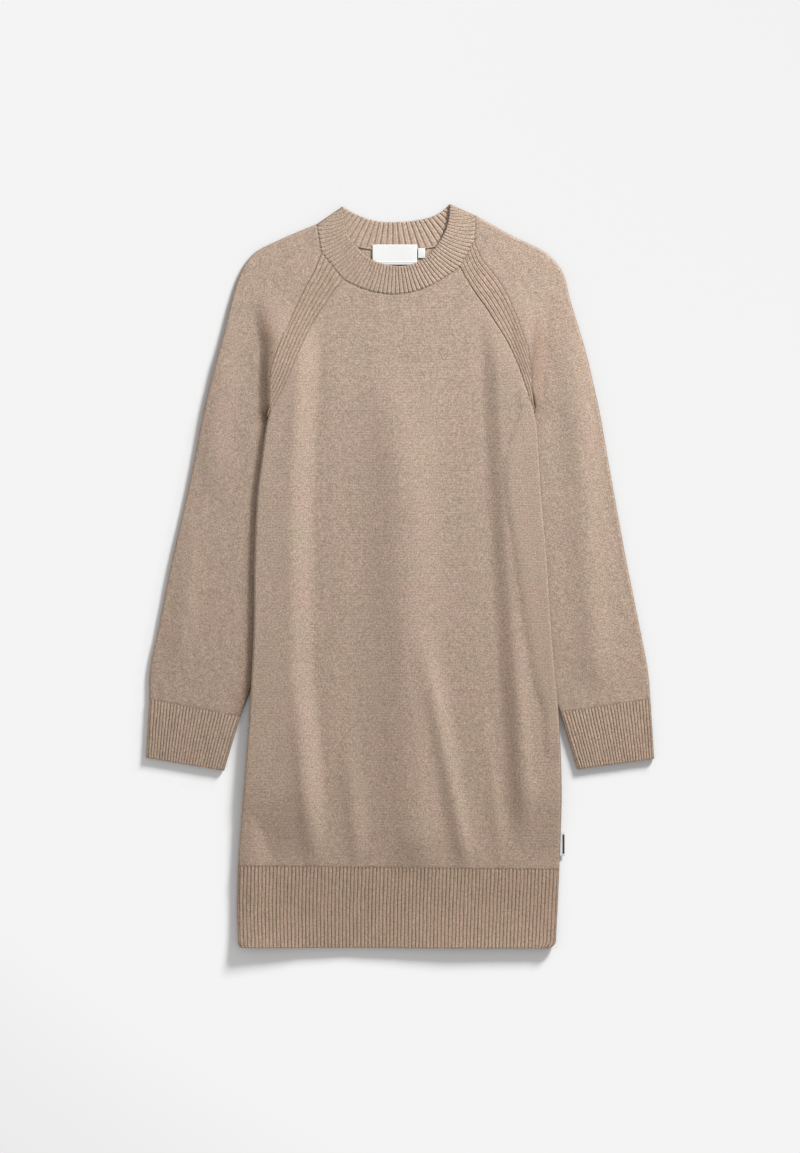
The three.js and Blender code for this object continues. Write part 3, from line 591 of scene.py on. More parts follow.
def make_wall(name, outer, inner, uv, ring=False, relief=None, both=False):
    """A closed wall between two grids of points, with rims at its open edges.

    outer and inner are rows by columns by 3, in millimetres. uv is rows by columns by 2 and
    relief rows by columns. The inside takes the same uv, and the same relief if both is set."""
    rows, columns = outer.shape[:2]
    verts = np.concatenate([outer.reshape(-1, 3), inner.reshape(-1, 3)]) * MM
    out = np.arange(rows * columns).reshape(rows, columns)
    if ring:
        out = np.concatenate([out, out[:, :1]], axis=1)
    inn = out + rows * columns
    rims = [(inn[0], out[0]), (out[-1], inn[-1])]
    if not ring:
        rims += [(out[:, 0], inn[:, 0]), (inn[:, -1], out[:, -1])]
    faces = [quads(out), quads(inn)[:, ::-1]] + [quads(np.stack(rim)) for rim in rims]
    faces = outward(verts, np.concatenate(faces))
    uvs = np.concatenate([uv.reshape(-1, 2), uv.reshape(-1, 2)])
    if relief is None:
        relief = np.ones((rows, columns))
    outside = relief.reshape(-1)
    inside = outside if both else np.ones(rows * columns)
    return make_mesh(name, verts, faces, uvs, np.concatenate([outside, inside]))


def make_mesh(name, verts, faces, uvs, relief, sharp=50.0):
    """A mesh object from arrays: points in metres, faces of one length, uv and relief by point.

    Edges over a sharp angle, in degrees, are not smoothed."""
    mesh = bpy.data.meshes.new(name)
    mesh.vertices.add(len(verts))
    mesh.vertices.foreach_set("co", verts.astype(np.float32).ravel())
    sides = faces.shape[1]
    mesh.loops.add(faces.size)
    mesh.loops.foreach_set("vertex_index", faces.astype(np.int32).ravel())
    mesh.polygons.add(len(faces))
    mesh.polygons.foreach_set("loop_start", np.arange(0, faces.size, sides, dtype=np.int32))
    mesh.polygons.foreach_set("use_smooth", np.ones(len(faces), bool))
    stitches = mesh.uv_layers.new(name="knit")
    stitches.data.foreach_set("uv", uvs[faces.ravel()].astype(np.float32).ravel())
    # On the cloth the relief holds painted light and shade; on the floor, the paper's tone
    store = mesh.attributes.new("relief", "FLOAT", "POINT")
    store.data.foreach_set("value", relief.astype(np.float32))
    mesh.update(calc_edges=True)
    mesh.validate()
    mesh.set_sharp_from_angle(angle=math.radians(sharp))
    piece = bpy.data.objects.new(name, mesh)
    bpy.context.scene.collection.objects.link(piece)
    return piece


# Fine rows close to seams and free edges, in millimetres from them
SEAM_REACH = 4.0
SEAM_ROWS = np.arange(0.0, SEAM_REACH, 0.6)
EDGE_ROWS = np.array([0.0, 0.1, 0.35, 0.7, 1.2, 2.0])
HEM_EDGE_ROWS = np.append(EDGE_ROWS, [3.0, 4.5, 6.5, 9.0, 12.0, 15.5])

# Rows of the pieces between their seams; where there are two numbers, the second is about how
# long the piece is there
BODY_ROWS = {"raglan": (70, 180), "side": (146, 545)}
SLEEVE_ROWS = {"raglan": (60, 200), "arm": (80, 360)}
RAGLAN_ROWS = (90, 190)
HEM_ROWS = {"front": 20, "back": 8}
CUFF_ROWS = (16, 70)
NECK_ROWS = 12
TUCK_ROWS = 8

# Columns of the pieces; a rib has RIB_POINTS of them, and RAGLAN_POINTS in the raglan bands
BODY_COLUMNS = {"front": 180, "back": 90}
HEM_BACK_COLUMNS = 60
SLEEVE_COLUMNS = (70, 30)
CUFF_BACK_COLUMNS = 40
RIB_POINTS = 8
RAGLAN_POINTS = 9

# Columns of a fold's quarter turn
CURL = 6
QUARTER = math.pi / 2

# How much each piece dips at its top, bottom and sides; 0 where it has no seam
SEAMS = {
    "body": (0.5, 0.25, 0.45),
    "hem": (0.25, 0.0, 0.0),
    "sleeve": (0.4, 0.25, 0.45),
    "cuff": (0.3, 0.0, 0.0),
    "raglan": (0.5, 0.0, 0.5),
    "neck": (0.6, 0.0, 0.0),
}

# How deep the jersey's seams are, and the share of its light that they take as painted shade
JERSEY_SEAM = {"deep": 0.9, "shade": 0.7}

# Share of a body's side, from the underarm, over which it turns from a seam to a fold
SIDE_TURN = 1.5 / 11


def steps_between(count, length, end_rows=SEAM_ROWS):
    """Steps from 0 to 1 over a length, crowded at a seam at the start and at the given rows."""
    start, end = SEAM_ROWS / length, 1 - end_rows / length
    middle = np.linspace(SEAM_REACH / length, 1 - SEAM_REACH / length, count)
    return np.unique(np.concatenate([start, middle, end]))


def steps_from_seam(count, length):
    """Steps from 0 to 1 over a length, crowded at a seam at the start."""
    middle = np.linspace(SEAM_REACH / length, 1, count)
    return np.unique(np.concatenate([SEAM_ROWS / length, middle]))


def steps_to_seam(count, length):
    """Steps from 0 to 1 over a length, crowded at a seam at the end."""
    middle = np.linspace(0, 1 - SEAM_REACH / length, count)
    return np.unique(np.concatenate([middle, 1 - SEAM_ROWS / length]))


def layer_columns(middle, ribs=0):
    """Columns of a layer: which end each belongs to, its angle, its share of the flat and its rib.

    The angle is a quarter turn on the flat and less where the cloth curls round a fold."""
    bend = np.arange(CURL) / CURL * QUARTER
    flat = np.linspace(0.0, 1.0, middle + 1)
    share = np.concatenate([np.zeros(CURL), flat, np.ones(CURL)])
    return {
        "end": np.concatenate([-np.ones(CURL), np.zeros(middle + 1), np.ones(CURL)]),
        "angle": np.concatenate([bend, np.full(middle + 1, QUARTER), bend[::-1]]),
        "share": share,
        "ribs": share * ribs,
    }


def edge_inset(angle, fold):
    """Distance from an end of a row, outside and inside.

    At a folded edge (fold 1) the outside is a circle of half the stack and the inside one that
    is a wall smaller; at a seam (fold 0) both move straight in."""
    radius = STACK / 2
    bend = 1 - np.cos(angle)
    flat = SEAM / 2 + angle / QUARTER * radius
    out = fold * radius * bend + (1 - fold) * flat
    inn = fold * (WALL + (radius - WALL) * bend) + (1 - fold) * flat
    return out, inn


def down_rows(plan):
    """Distance of each point from the first row, down its column."""
    step = np.linalg.norm(np.diff(plan, axis=0), axis=-1)
    return np.concatenate([np.zeros((1, plan.shape[1])), np.cumsum(step, axis=0)])


def groove(distance, width=1.5):
    """A bell that is 1 on a seam."""
    return np.exp(-((distance / width) ** 2))


def rounded(distance, radius=1.2, least=0.06):
    """Share of a wall's thickness at a distance from its free edge: a quarter circle."""
    t = np.clip(1 - distance / radius, 0, 1)
    return np.maximum(np.sqrt(1 - t * t), least)


def rib_shape(ribs):
    """Round ribs with narrow hollows: the arch of a sine, a rib for each whole number."""
    return np.abs(np.sin(math.pi * ribs)) ** 0.7


def put_heights(plan, heights):
    """Points in space from points in plan and their heights."""
    return np.concatenate([plan, heights[..., None]], -1)


def wall_faces(base, height, thickness_share):
    """Heights of the two faces of a wall: its upper face bears the knit's own rise."""
    middle = base + WALL / 2
    upper = middle + (WALL / 2 + height) * thickness_share
    return upper, middle - WALL / 2 * thickness_share


def seam_depths(seams, sides, down, up=None):
    """How far a place lies in a seam, 0 to 1: the deepest of its top, bottom and sides."""
    top, bottom, side = seams
    depths = np.maximum(side * sides, top * groove(down))
    return np.maximum(depths, bottom * groove(up)) if bottom else depths


def towards_light(under, x, y):
    """How far a surface slopes towards the key light: its fall over 2 mm, halved and limited."""
    across = under(x - 1, y) - under(x + 1, y)
    down = under(x, y - 1) - under(x, y + 1)
    slope = (LIGHT_WAY[0] * across + LIGHT_WAY[1] * down) / 2
    return np.clip(slope, -SLOPE_PAINTED_LIMIT, SLOPE_PAINTED_LIMIT)


def layer(rows, columns, under, is_front, knit):
    """One layer between two edges, curled round folded edges to the middle of the stack.

    rows holds the ends of each row, how far they are folds, and the sag of the row, a parabola.
    knit(x, y, columns, seams) gives the rise of the outside and its relief."""
    first, last = rows["first"][:, None], rows["last"][:, None]
    fold = rows["fold"][:, None]
    length = np.linalg.norm(last - first, axis=-1)
    out, inn = edge_inset(columns["angle"][None], fold)
    start = edge_inset(QUARTER, fold)[0]
    middle = start + (length - 2 * start) * columns["share"][None]
    end = columns["end"][None]
    out_at = np.where(end < 0, out, np.where(end > 0, length - out, middle))
    in_at = np.where(end < 0, inn, np.where(end > 0, length - inn, middle))
    rise = np.where(end == 0, 1.0, fold * np.sin(columns["angle"][None]) + 1 - fold)

    def plan(at):
        t = at / length
        points = first + (last - first) * t[..., None]
        points[..., 1] -= rows["sag"][:, None] * 4 * t * (1 - t)
        for side, pull, near in zip(SIDES, rows["corner"], (at, length - at)):
            bend = smooth(HEM_CORNER[side]["reach"], 0, near)
            points[..., 0] -= SIGN[side] * pull[:, None] * bend
        return points

    outer, inner = plan(out_at), plan(in_at)
    down = down_rows(outer)
    up = down[-1:] - down
    sides = (1 - fold) * groove(np.minimum(out_at, length - out_at))
    seams = seam_depths(rows["seams"], sides, down, up)
    thickness = rounded(up) if rows["free"] else np.ones(down.shape)
    x, y = outer[..., 0], outer[..., 1]
    height, relief = knit(x, y, columns, seams)
    # Painted light and shade: slopes that face the key light are painted lighter, slopes that face
    # away darker
    relief = relief * (1 + SLOPE_PAINTED_LIGHT * towards_light(under, x, y))
    slit = back_under(x, y) + STACK / 2 + (SLIT / 2 if is_front else -SLIT / 2)
    upper, lower = wall_faces(under(x, y), height, thickness)
    out_z, in_z = (upper, lower) if is_front else (lower, upper)
    outer = put_heights(outer, slit + (out_z - slit) * rise)
    inner = put_heights(inner, slit + (in_z - slit) * rise)
    return outer, inner, relief, down


def jersey_knit(seed):
    """Soft uneven jersey that dips into its seams."""

    def knit(x, y, _columns, seams):
        height = crinkle(x, y, JERSEY_WAVES, seed) - JERSEY_SEAM["deep"] * seams
        # Painted shade: the relief is darker in the seams
        return height, 1 - JERSEY_SEAM["shade"] * seams

    return knit


def rib_arch(kind, x, y, ribs, seed):
    """Share of a rib's height at each place: an arch for each rib, which runs a little unevenly."""
    return rib_shape(ribs + crinkle(x, y, RIBS[kind]["uneven"], seed, longest=40, shortest=9))


def rib_face(kind, arch, seams, waves, sizes):
    """Rise and relief of ribs: their arch and the cloth's waves, less in the seams."""
    form = RIBS[kind]
    height = sizes.rib_rise / MM * (form["top"] * arch - form["hollow"])
    # Painted shade: the relief is darker in the rib hollows and in the seams
    relief = (form["dark"] + form["light"] * arch) * (1 - form["shade"] * seams)
    return height + waves - form["seam"] * seams, relief


def rib_knit(sizes, seed):
    """Round ribs, level where the cloth curls round a fold."""

    def knit(x, y, columns, seams):
        arch = rib_arch("edge", x, y, columns["ribs"][None], seed)
        arch = np.where(columns["end"][None] == 0, arch, LEVEL_ARCH)
        return rib_face("edge", arch, seams, crinkle(x, y, RIB_WAVES, seed + 1), sizes)

    return knit


def plain_knit(x, _y, _columns, _seams):
    """A flat face, for the layer that rests on the floor."""
    return np.zeros(x.shape), np.ones(x.shape)


def body_panel(is_front):
    """Front or back: rows between the raglan lines, then between the side edges."""
    half = "front" if is_front else "back"
    upper = steps_from_seam(*BODY_ROWS["raglan"])
    lower = steps_to_seam(*BODY_ROWS["side"])
    if is_front:
        ends = [curve(column(RAGLAN[side], "body"), upper) for side in SIDES]
    else:
        ends = [mix(*RAGLAN_BACK[side]["body"], upper[:, None]) for side in SIDES]
    edges = [curve(column(BODY, side), lower) for side in SIDES]
    rows = {
        "first": np.concatenate([ends[0], edges[0]]),
        "last": np.concatenate([ends[1], edges[1]]),
        "fold": np.concatenate([np.zeros(len(upper)), smooth(0, SIDE_TURN, lower)]),
        "sag": np.concatenate([NECK_SAG[half] * (1 - upper) ** 2, np.zeros(len(lower))]),
        "corner": np.zeros((2, len(upper) + len(lower))),
        "seams": SEAMS["body"],
        "free": False,
    }
    columns = layer_columns(BODY_COLUMNS[half])
    under = front_under if is_front else back_under
    knit = jersey_knit(SEEDS["front"]) if is_front else plain_knit
    outer, inner, relief, _ = layer(rows, columns, under, is_front, knit)
    uv = outer[..., :2] / np.array([WALE, COURSE])
    return make_wall(f"{half}_panel", outer, inner, uv, relief=relief), outer, inner


def hem_panel(is_front, sizes):
    """Hem rib: its ribs run down from the seam to the edge, which is rounded."""
    half = "front" if is_front else "back"
    steps = steps_between(HEM_ROWS[half], HEM_HEIGHT, HEM_EDGE_ROWS)
    pulls = []
    for side in SIDES:
        corner = HEM_CORNER[side]
        up = np.clip(1 - (1 - steps) * HEM_HEIGHT / corner["height"], 0, 1)
        pulls.append(corner["pull"] * (1 - np.sqrt(1 - up**2)))
    rows = {
        "first": curve(column(HEM, "left"), steps),
        "last": curve(column(HEM, "right"), steps),
        "fold": np.ones(len(steps)),
        "sag": np.zeros(len(steps)),
        "corner": np.stack(pulls),
        "seams": SEAMS["hem"],
        "free": True,
    }
    columns = layer_columns(HEM_RIBS * RIB_POINTS if is_front else HEM_BACK_COLUMNS, HEM_RIBS)
    under = front_under if is_front else back_under
    knit = rib_knit(sizes, SEEDS["hem"]) if is_front else plain_knit
    outer, inner, relief, down = layer(rows, columns, under, is_front, knit)
    uv = np.stack([np.broadcast_to(columns["ribs"], down.shape), -down / COURSE], -1)
    return make_wall(f"hem_rib_{half}", outer, inner, uv, relief=relief), outer, inner


def tube_half(rows, inner_end, is_front, count, under, knit, ribs):
    """The upper or the lower layer of a flattened tube, from its inner edge to its outer fold."""
    inner_end, outer_end = inner_end[:, None], rows["outer"][:, None]
    fold = rows["fold"][:, None]
    bend = np.arange(CURL)[None] / CURL * QUARTER
    length = np.linalg.norm(outer_end - inner_end, axis=-1)
    start = edge_inset(QUARTER, fold)[0]
    share = np.linspace(0, 1, count + 1)[None]
    flat = start + (length - start - STACK / 2) * share
    near = edge_inset(bend, fold)
    far = edge_inset(bend[:, :0:-1], np.ones_like(fold))
    out_at = np.concatenate([near[0], flat, length - far[0]], 1)
    in_at = np.concatenate([near[1], flat, length - far[1]], 1)
    near_rise = fold * np.sin(bend) + 1 - fold
    far_rise = np.sin(bend[:, :0:-1]) + 0 * fold
    rise = np.concatenate([near_rise, np.ones_like(flat), far_rise], 1)
    places = np.concatenate([np.zeros(CURL), share[0], np.ones(CURL - 1)])
    on_flat = np.concatenate([np.zeros(CURL), np.ones(count + 1), np.zeros(CURL - 1)])
    outer, inner = (
        inner_end + (outer_end - inner_end) * (at / length)[..., None] for at in (out_at, in_at)
    )
    down = down_rows(outer)
    up = down[-1:] - down
    seams = seam_depths(rows["seams"], (1 - fold) * groove(out_at), down, up)
    thickness = rounded(up) if rows["free"] else np.ones(down.shape)
    x, y = outer[..., 0], outer[..., 1]
    slit = STACK / 2 + (SLIT / 2 if is_front else -SLIT / 2)
    if is_front:
        height, relief = knit(x, y, {"end": 1 - on_flat, "ribs": places * ribs}, seams)
        out_z, in_z = wall_faces(under(x, y), height, thickness)
    else:
        height, relief = plain_knit(x, y, None, None)
        in_z, out_z = wall_faces(0.0, height, thickness)
    outer = put_heights(outer, slit + (out_z - slit) * rise)
    inner = put_heights(inner, slit + (in_z - slit) * rise)
    across = np.stack([np.broadcast_to(places * ribs, down.shape), -down / COURSE], -1)
    return [outer, inner, relief, across]


def tube(rows, counts, under, knit, ribs=0):
    """A flattened tube: the upper layer out to the fold, a turn there, and the lower layer back."""
    top = tube_half(rows, rows["inner"], True, counts[0], under, knit, ribs)
    low = tube_half(rows, rows["back_inner"], False, counts[1], under, knit, ribs)
    reach = rows["outer"] - rows["inner"]
    unit = reach / np.linalg.norm(reach, axis=-1, keepdims=True)
    level = np.full((len(unit), 1), STACK / 2)
    turn = [
        put_heights(rows["outer"][:, None], level),
        put_heights((rows["outer"] - unit * WALL)[:, None], level),
        np.ones_like(level),
        top[3][:, -1:],
    ]
    return [np.concatenate([a, b, c[:, ::-1]], 1) for a, b, c in zip(top, turn, low)]


def sleeve(side):
    """A sleeve: rows along the raglan line, then along the arm to the cuff."""
    upper = steps_from_seam(*SLEEVE_ROWS["raglan"])
    lower = steps_to_seam(*SLEEVE_ROWS["arm"])
    inner_edge = curve(column(ARM[side], "inner"), lower)
    back_line = mix(*RAGLAN_BACK[side]["sleeve"], upper[:, None])
    shoulder = curve(column(RAGLAN[side], "fold"), upper)
    rows = {
        "inner": np.concatenate([curve(column(RAGLAN[side], "sleeve"), upper), inner_edge]),
        "back_inner": np.concatenate([back_line, inner_edge]),
        "outer": np.concatenate([shoulder, curve(column(ARM[side], "outer"), lower)]),
        "fold": np.concatenate([np.zeros(len(upper)), np.ones(len(lower))]),
        "seams": SEAMS["sleeve"],
        "free": False,
    }
    knit = jersey_knit(SEEDS[f"sleeve_{side}"])
    outer, inner, relief, _ = tube(rows, SLEEVE_COLUMNS, sleeve_under, knit)
    # Painted shade in the crease where the sleeve lies beside the body
    relief = relief * crease_shade(side, outer[..., 0], outer[..., 1])
    axis = rows["outer"][-1] - rows["outer"][len(upper) // 2]
    axis = axis / np.linalg.norm(axis)
    plan = outer[..., :2] - rows["outer"][0]
    uv = np.stack([plan @ [axis[1], -axis[0]] / WALE, -(plan @ axis) / COURSE], -1)
    return make_wall(f"sleeve_jersey_{side}", outer, inner, uv, relief=relief), outer, inner


def cuff(side, sizes):
    """A cuff: a flattened tube of ribs, with a rounded lower edge."""
    top, end = ARM[side][-1], CUFF_END[side]
    steps = steps_between(*CUFF_ROWS, EDGE_ROWS)
    down = np.array([0.0, -SEAM]) * (steps == 0)[:, None]
    inner_edge = mix(top["inner"], end["inner"], steps[:, None]) + down
    rows = {
        "inner": inner_edge,
        "back_inner": inner_edge,
        "outer": mix(top["outer"], end["outer"], steps[:, None]) + down,
        "fold": np.ones(len(steps)),
        "seams": SEAMS["cuff"],
        "free": True,
    }
    counts = (CUFF_RIBS * RIB_POINTS, CUFF_BACK_COLUMNS)
    knit = rib_knit(sizes, SEEDS["cuff"])
    outer, inner, relief, uv = tube(rows, counts, flat_under, knit, CUFF_RIBS)
    # Painted light: each cuff is painted a little lighter, the left one more than the right
    relief = relief * CUFF_PAINTED_LIGHT[side]
    return make_wall(f"cuff_rib_{side}", outer, inner, uv, relief=relief), outer, inner


def raglan_band(side, sizes):
    """Front raglan band: ribs of one width run along it and end where the crease covers them."""
    steps = steps_between(*RAGLAN_ROWS)
    ends = [curve(column(RAGLAN[side], name), steps) for name in ("body", "sleeve")]
    tucked = np.linspace(0, 1, TUCK_ROWS + 1)[1:]
    first, last = (
        np.vstack([line, mix(line[-1], end, tucked[:, None])])
        for line, end in zip(ends, RAGLAN_TUCK[side])
    )
    down_tuck = np.concatenate([np.zeros(len(steps)), tucked**2]) * RAGLAN_TUCK_DROP
    steps = np.concatenate([steps, np.ones(len(tucked))])
    seen = np.linalg.norm(last - first, axis=-1) - SEAM
    at_neck, at_underarm = RAGLAN_WIDTHS[side]
    whole = np.maximum(at_neck + (at_underarm - at_neck) * steps, seen)[:, None]
    count = RAGLAN_RIBS * RAGLAN_POINTS
    number = np.arange(count + 1)[None]
    place = np.minimum(number / count * whole, seen[:, None] - (count - number) * COVERED_STEP)
    t = (place + SEAM / 2) / (seen + SEAM)[:, None]
    plan = first[:, None] + (last - first)[:, None] * t[..., None]
    x, y = plan[..., 0], plan[..., 1]
    down = down_rows(plan)
    sides = np.maximum(groove(place, 1.0), groove(seen[:, None] - place, 1.0))
    seams = seam_depths(SEAMS["raglan"], sides, down)
    ribs = place / whole * RAGLAN_RIBS
    kind, seed = f"raglan_{side}", SEEDS["raglan"]
    arch = rib_arch(kind, x, y, ribs, seed)
    height, relief = rib_face(kind, arch, seams, crinkle(x, y, RIB_WAVES, seed), sizes)
    base = front_under(x, y) - down_tuck[:, None]
    uv = np.stack([ribs, -down / COURSE], -1)
    outer, inner = put_heights(plan, base + WALL + height), put_heights(plan, base)
    return make_wall(f"raglan_rib_{side}", outer, inner, uv, relief=relief), outer, inner


def raglan_band_back(side):
    """Back raglan band, plain because it rests on the floor."""
    steps = np.linspace(0, 1, 30)[:, None, None]
    first = mix(*RAGLAN_BACK[side]["body"], steps)
    last = mix(*RAGLAN_BACK[side]["sleeve"], steps)
    across = np.linspace(BACK_GAP, 1 - BACK_GAP, 9)[None, :, None]
    plan = first + (last - first) * across
    base = back_under(first[..., 0], first[..., 1]) * (1 - across[..., 0])
    outer = put_heights(plan, base)
    inner = outer + np.array([0, 0, WALL])
    uv = np.stack([across[..., 0] * RAGLAN_RIBS + 0 * base, plan[..., 1] / COURSE], -1)
    return make_wall(f"raglan_rib_back_{side}", outer, inner, uv), outer, inner


def neck_seam(is_front):
    """The neck seam in plan: straight over each shoulder and band, a parabola between them."""
    if is_front:
        ends = {side: (RAGLAN[side][0]["sleeve"], RAGLAN[side][0]["body"]) for side in SIDES}
    else:
        ends = {
            side: (RAGLAN_BACK[side]["sleeve"][0], RAGLAN_BACK[side]["body"][0]) for side in SIDES
        }
    sag = NECK_SAG["front" if is_front else "back"]
    t = np.linspace(0, 1, 41)[:, None]
    middle = mix(ends["left"][1], ends["right"][1], t)
    middle[:, 1] -= (sag * 4 * t * (1 - t))[:, 0]
    left = [RAGLAN["left"][0]["fold"], ends["left"][0]]
    right = [ends["right"][0], RAGLAN["right"][0]["fold"]]
    return np.vstack([left, middle, right])


def neck_plan(is_front, t, across):
    """Points of the neckband in plan, from its free edge (across 0) to its seam (across 1)."""
    edge = NECK_FREE_FRONT if is_front else NECK_FREE_BACK
    free = along(curve(edge, np.linspace(0, 1, 200)), t)[None]
    seam = along(neck_seam(is_front), t)[None]
    width = np.linalg.norm(seam - free, axis=-1)
    share = across * (1 - SEAM / 2 / width)
    return free + (seam - free) * share[..., None]


def neck_half(is_front, sizes, across):
    """Half of the neckband's ring; its upper face bears the ribs, its lower one is flat."""
    count = NECK_RIBS["front" if is_front else "back"]
    step = np.linspace(0, 1, count * RIB_POINTS + 1)
    t = step if is_front else 1 - step
    inset = STACK / 2 / NECK_RING_HALF
    plan = neck_plan(is_front, inset + (1 - 2 * inset) * t, across)
    x, y = plan[..., 0], plan[..., 1]
    lean = NECK_LEAN * (1 - 2 * step) * (1 - across) if is_front else 0.0
    ribs = np.broadcast_to((step - lean) * count, x.shape)
    seams = SEAMS["neck"][0] * groove((1 - across) * NECKBAND_WIDTH, 0.9)
    arch = rib_arch("neck", x, y, ribs, SEEDS["neck"])
    waves = crinkle(x, y, RIB_WAVES, SEEDS["neck"] + 1)
    height, relief = rib_face("neck", arch, seams, waves, sizes)
    gape = np.sqrt(np.sin(math.pi * t))[None] * (1 - across) * NECK_EDGE_RISE
    base = WALL + AIR + gape if is_front else np.zeros(x.shape)
    thickness = rounded(across * NECKBAND_WIDTH)
    faces = [put_heights(plan, z) for z in wall_faces(base, height, thickness)]
    outer, inner = faces if is_front else faces[::-1]
    uv = np.stack([ribs, across * NECKBAND_WIDTH / COURSE + 0 * ribs], -1)
    return outer, inner, relief, uv


def neck_turn(side, across):
    """The neckband's fold at a shoulder: half circles from its front half to its back half."""
    plan = neck_plan(True, np.array([0.0 if side == "left" else 1.0]), across)
    angle = np.linspace(QUARTER, -QUARTER, 9)[1:-1]
    if side == "left":
        angle = angle[::-1]
    faces = []
    for radius in (STACK / 2, STACK / 2 - WALL):
        distance = radius * np.cos(angle) - STACK / 2
        flat = plan + distance[None, :, None] * np.array(NECK_PEAK[side])
        level = STACK / 2 + radius * np.sin(angle)
        faces.append(put_heights(flat, np.broadcast_to(level, flat.shape[:2])))
    relief = np.full(flat.shape[:2], LEVEL_ARCH)
    return faces[0], faces[1], relief, np.zeros(flat.shape[:2] + (2,))


def neckband(sizes):
    """A ring round the opening, its front half on top and its back half below."""
    across = 1 - steps_between(NECK_ROWS, NECKBAND_WIDTH, EDGE_ROWS)[::-1, None]
    parts = [
        neck_half(True, sizes, across),
        neck_turn("right", across),
        neck_half(False, sizes, across),
        neck_turn("left", across),
    ]
    outer, inner, relief, uv = (np.concatenate([part[k] for part in parts], 1) for k in range(4))
    piece = make_wall("neckband_ring", outer, inner, uv, ring=True, relief=relief, both=True)
    return piece, outer, inner


def flat_cloth(name, sizes, level, start=None):
    """A small flat piece of woven cloth with rounded edges; level(x, y) is its middle's height.

    start(y) gives its first edge where that isn't straight."""
    (first, last), (bottom, top) = sizes["x"], sizes["y"]
    across = np.unique(np.concatenate([np.linspace(0, 1, 49), [0.01, 0.99]]))[None]
    y = np.linspace(top, bottom, 41)[:, None] + 0 * across
    begin = np.full(y.shape, first) if start is None else start(y)
    x = begin + (last - begin) * across
    inside = np.minimum(np.minimum(x - begin, last - x), np.minimum(top - y, y - bottom))
    half = sizes["thick"] / 2 * rounded(inside, 0.4, 0.2)
    plan = np.stack([x, y], -1)
    middle = level(x, y)
    outer, inner = put_heights(plan, middle + half), put_heights(plan, middle - half)
    return make_wall(name, outer, inner, plan)


def label_level(x, y):
    """The neck label: soft waves along it, and a low bell where its end is folded."""
    return NECK_LABEL["z"] + 0.22 * np.sin(x / 9.0) + 0.3 * groove(y - NECK_LABEL["folded"], 0.6)


def size_tab_level(x, y):
    """The tab beside the label: one slanting wave."""
    return SIZE_TAB["z"] + 0.15 * np.sin(y / 4.0 + x / 5.0)


def side_tab_level(x, y):
    """The side tab: a wave down its length."""
    return SIDE_TAB["z"] + 0.12 * np.sin(y / 6.0) + 0 * x


def strip_level(x, y):
    """The plain strip follows the side tab, just above it."""
    return side_tab_level(x, y) + TAB_STRIP["above"]


def side_tab_start(y):
    """The side tab begins at the body's right edge."""
    return x_at_height(column(BODY, "right"), y) + SEAM


def left_of(ways):
    """Each direction turned a quarter to its left in plan."""
    return np.stack([-ways[:, 1], ways[:, 0]], -1)


def flat_ways(ways):
    """Directions in plan as level directions in space."""
    return np.concatenate([ways, np.zeros((len(ways), 1))], 1)


def turned_basis(ways):
    """For each direction in space, that direction, one level and square to it, and their cross."""
    ways = ways / np.linalg.norm(ways, axis=-1, keepdims=True)
    level = flat_ways(left_of(ways))
    level = level / np.maximum(np.linalg.norm(level, axis=-1, keepdims=True), 1e-6)
    return ways, level, np.cross(ways, level)


def loops(name, places, ways, size):
    """Small rounded stitches: unit balls of 6 by 4 faces, stretched along each way.

    size is their length, width and height."""
    turn = np.arange(6) * math.pi / 3
    ball = [(0.0, 0.0, 1.0)]
    for angle in (math.pi / 4, math.pi / 2, 3 * math.pi / 4):
        out, up = math.sin(angle), math.cos(angle)
        ball += [(out * math.cos(t), out * math.sin(t), up) for t in turn]
    ball = np.array(ball + [(0.0, 0.0, -1.0)])
    faces = [(0, 1 + k, 1 + (k + 1) % 6) for k in range(6)]
    for ring in (1, 7):
        for k in range(6):
            a, b = ring + k, ring + (k + 1) % 6
            faces += [(a, a + 6, b + 6), (a, b + 6, b)]
    faces += [(19, 13 + (k + 1) % 6, 13 + k) for k in range(6)]
    faces = np.array(faces)
    forward, level, up = turned_basis(np.asarray(ways, float))
    verts = np.asarray(places, float)[:, None]
    for k, axis in enumerate((forward, level, up)):
        verts = verts + ball[None, :, k, None] * size[k] / 2 * axis[:, None]
    all_faces = faces[None] + len(ball) * np.arange(len(places))[:, None, None]
    piece_verts = verts.reshape(-1, 3) * MM
    uv = piece_verts[:, :2] / (WALE * MM)
    relief = np.ones(len(piece_verts))
    return make_mesh(name, piece_verts, all_faces.reshape(-1, 3), uv, relief, sharp=180.0)


def ridge(name, path, width, height):
    """A rounded ridge carried along a path in space: an ellipse that shrinks at its two ends."""
    path = np.asarray(path, float)
    _, level, up = turned_basis(np.gradient(path, axis=0))
    turn = np.arange(10) * math.pi / 5
    reach = np.minimum(np.arange(len(path)), np.arange(len(path))[::-1]) / 3
    grow = rounded(reach, 1.0, 0.02)[:, None, None]
    side = np.cos(turn)[None, :, None] * level[:, None] * width / 2
    top = np.sin(turn)[None, :, None] * up[:, None] * height / 2
    ring = path[:, None] + (side + top) * grow
    index = np.arange(ring.shape[0] * 10).reshape(-1, 10)
    index = np.concatenate([index, index[:, :1]], 1)
    faces = [quads(index)]
    for row, order in ((0, -1), (-1, 1)):
        cap = index[row, :-1][::order]
        faces.append(np.array([[cap[0], cap[k], cap[k + 1], cap[k + 2]] for k in (1, 3, 5, 7)]))
    verts = ring.reshape(-1, 3) * MM
    faces = outward(verts, np.concatenate(faces))
    uv = verts[:, :2] / (WALE * MM)
    return make_mesh(name, verts, faces, uv, np.ones(len(verts)), sharp=180.0)


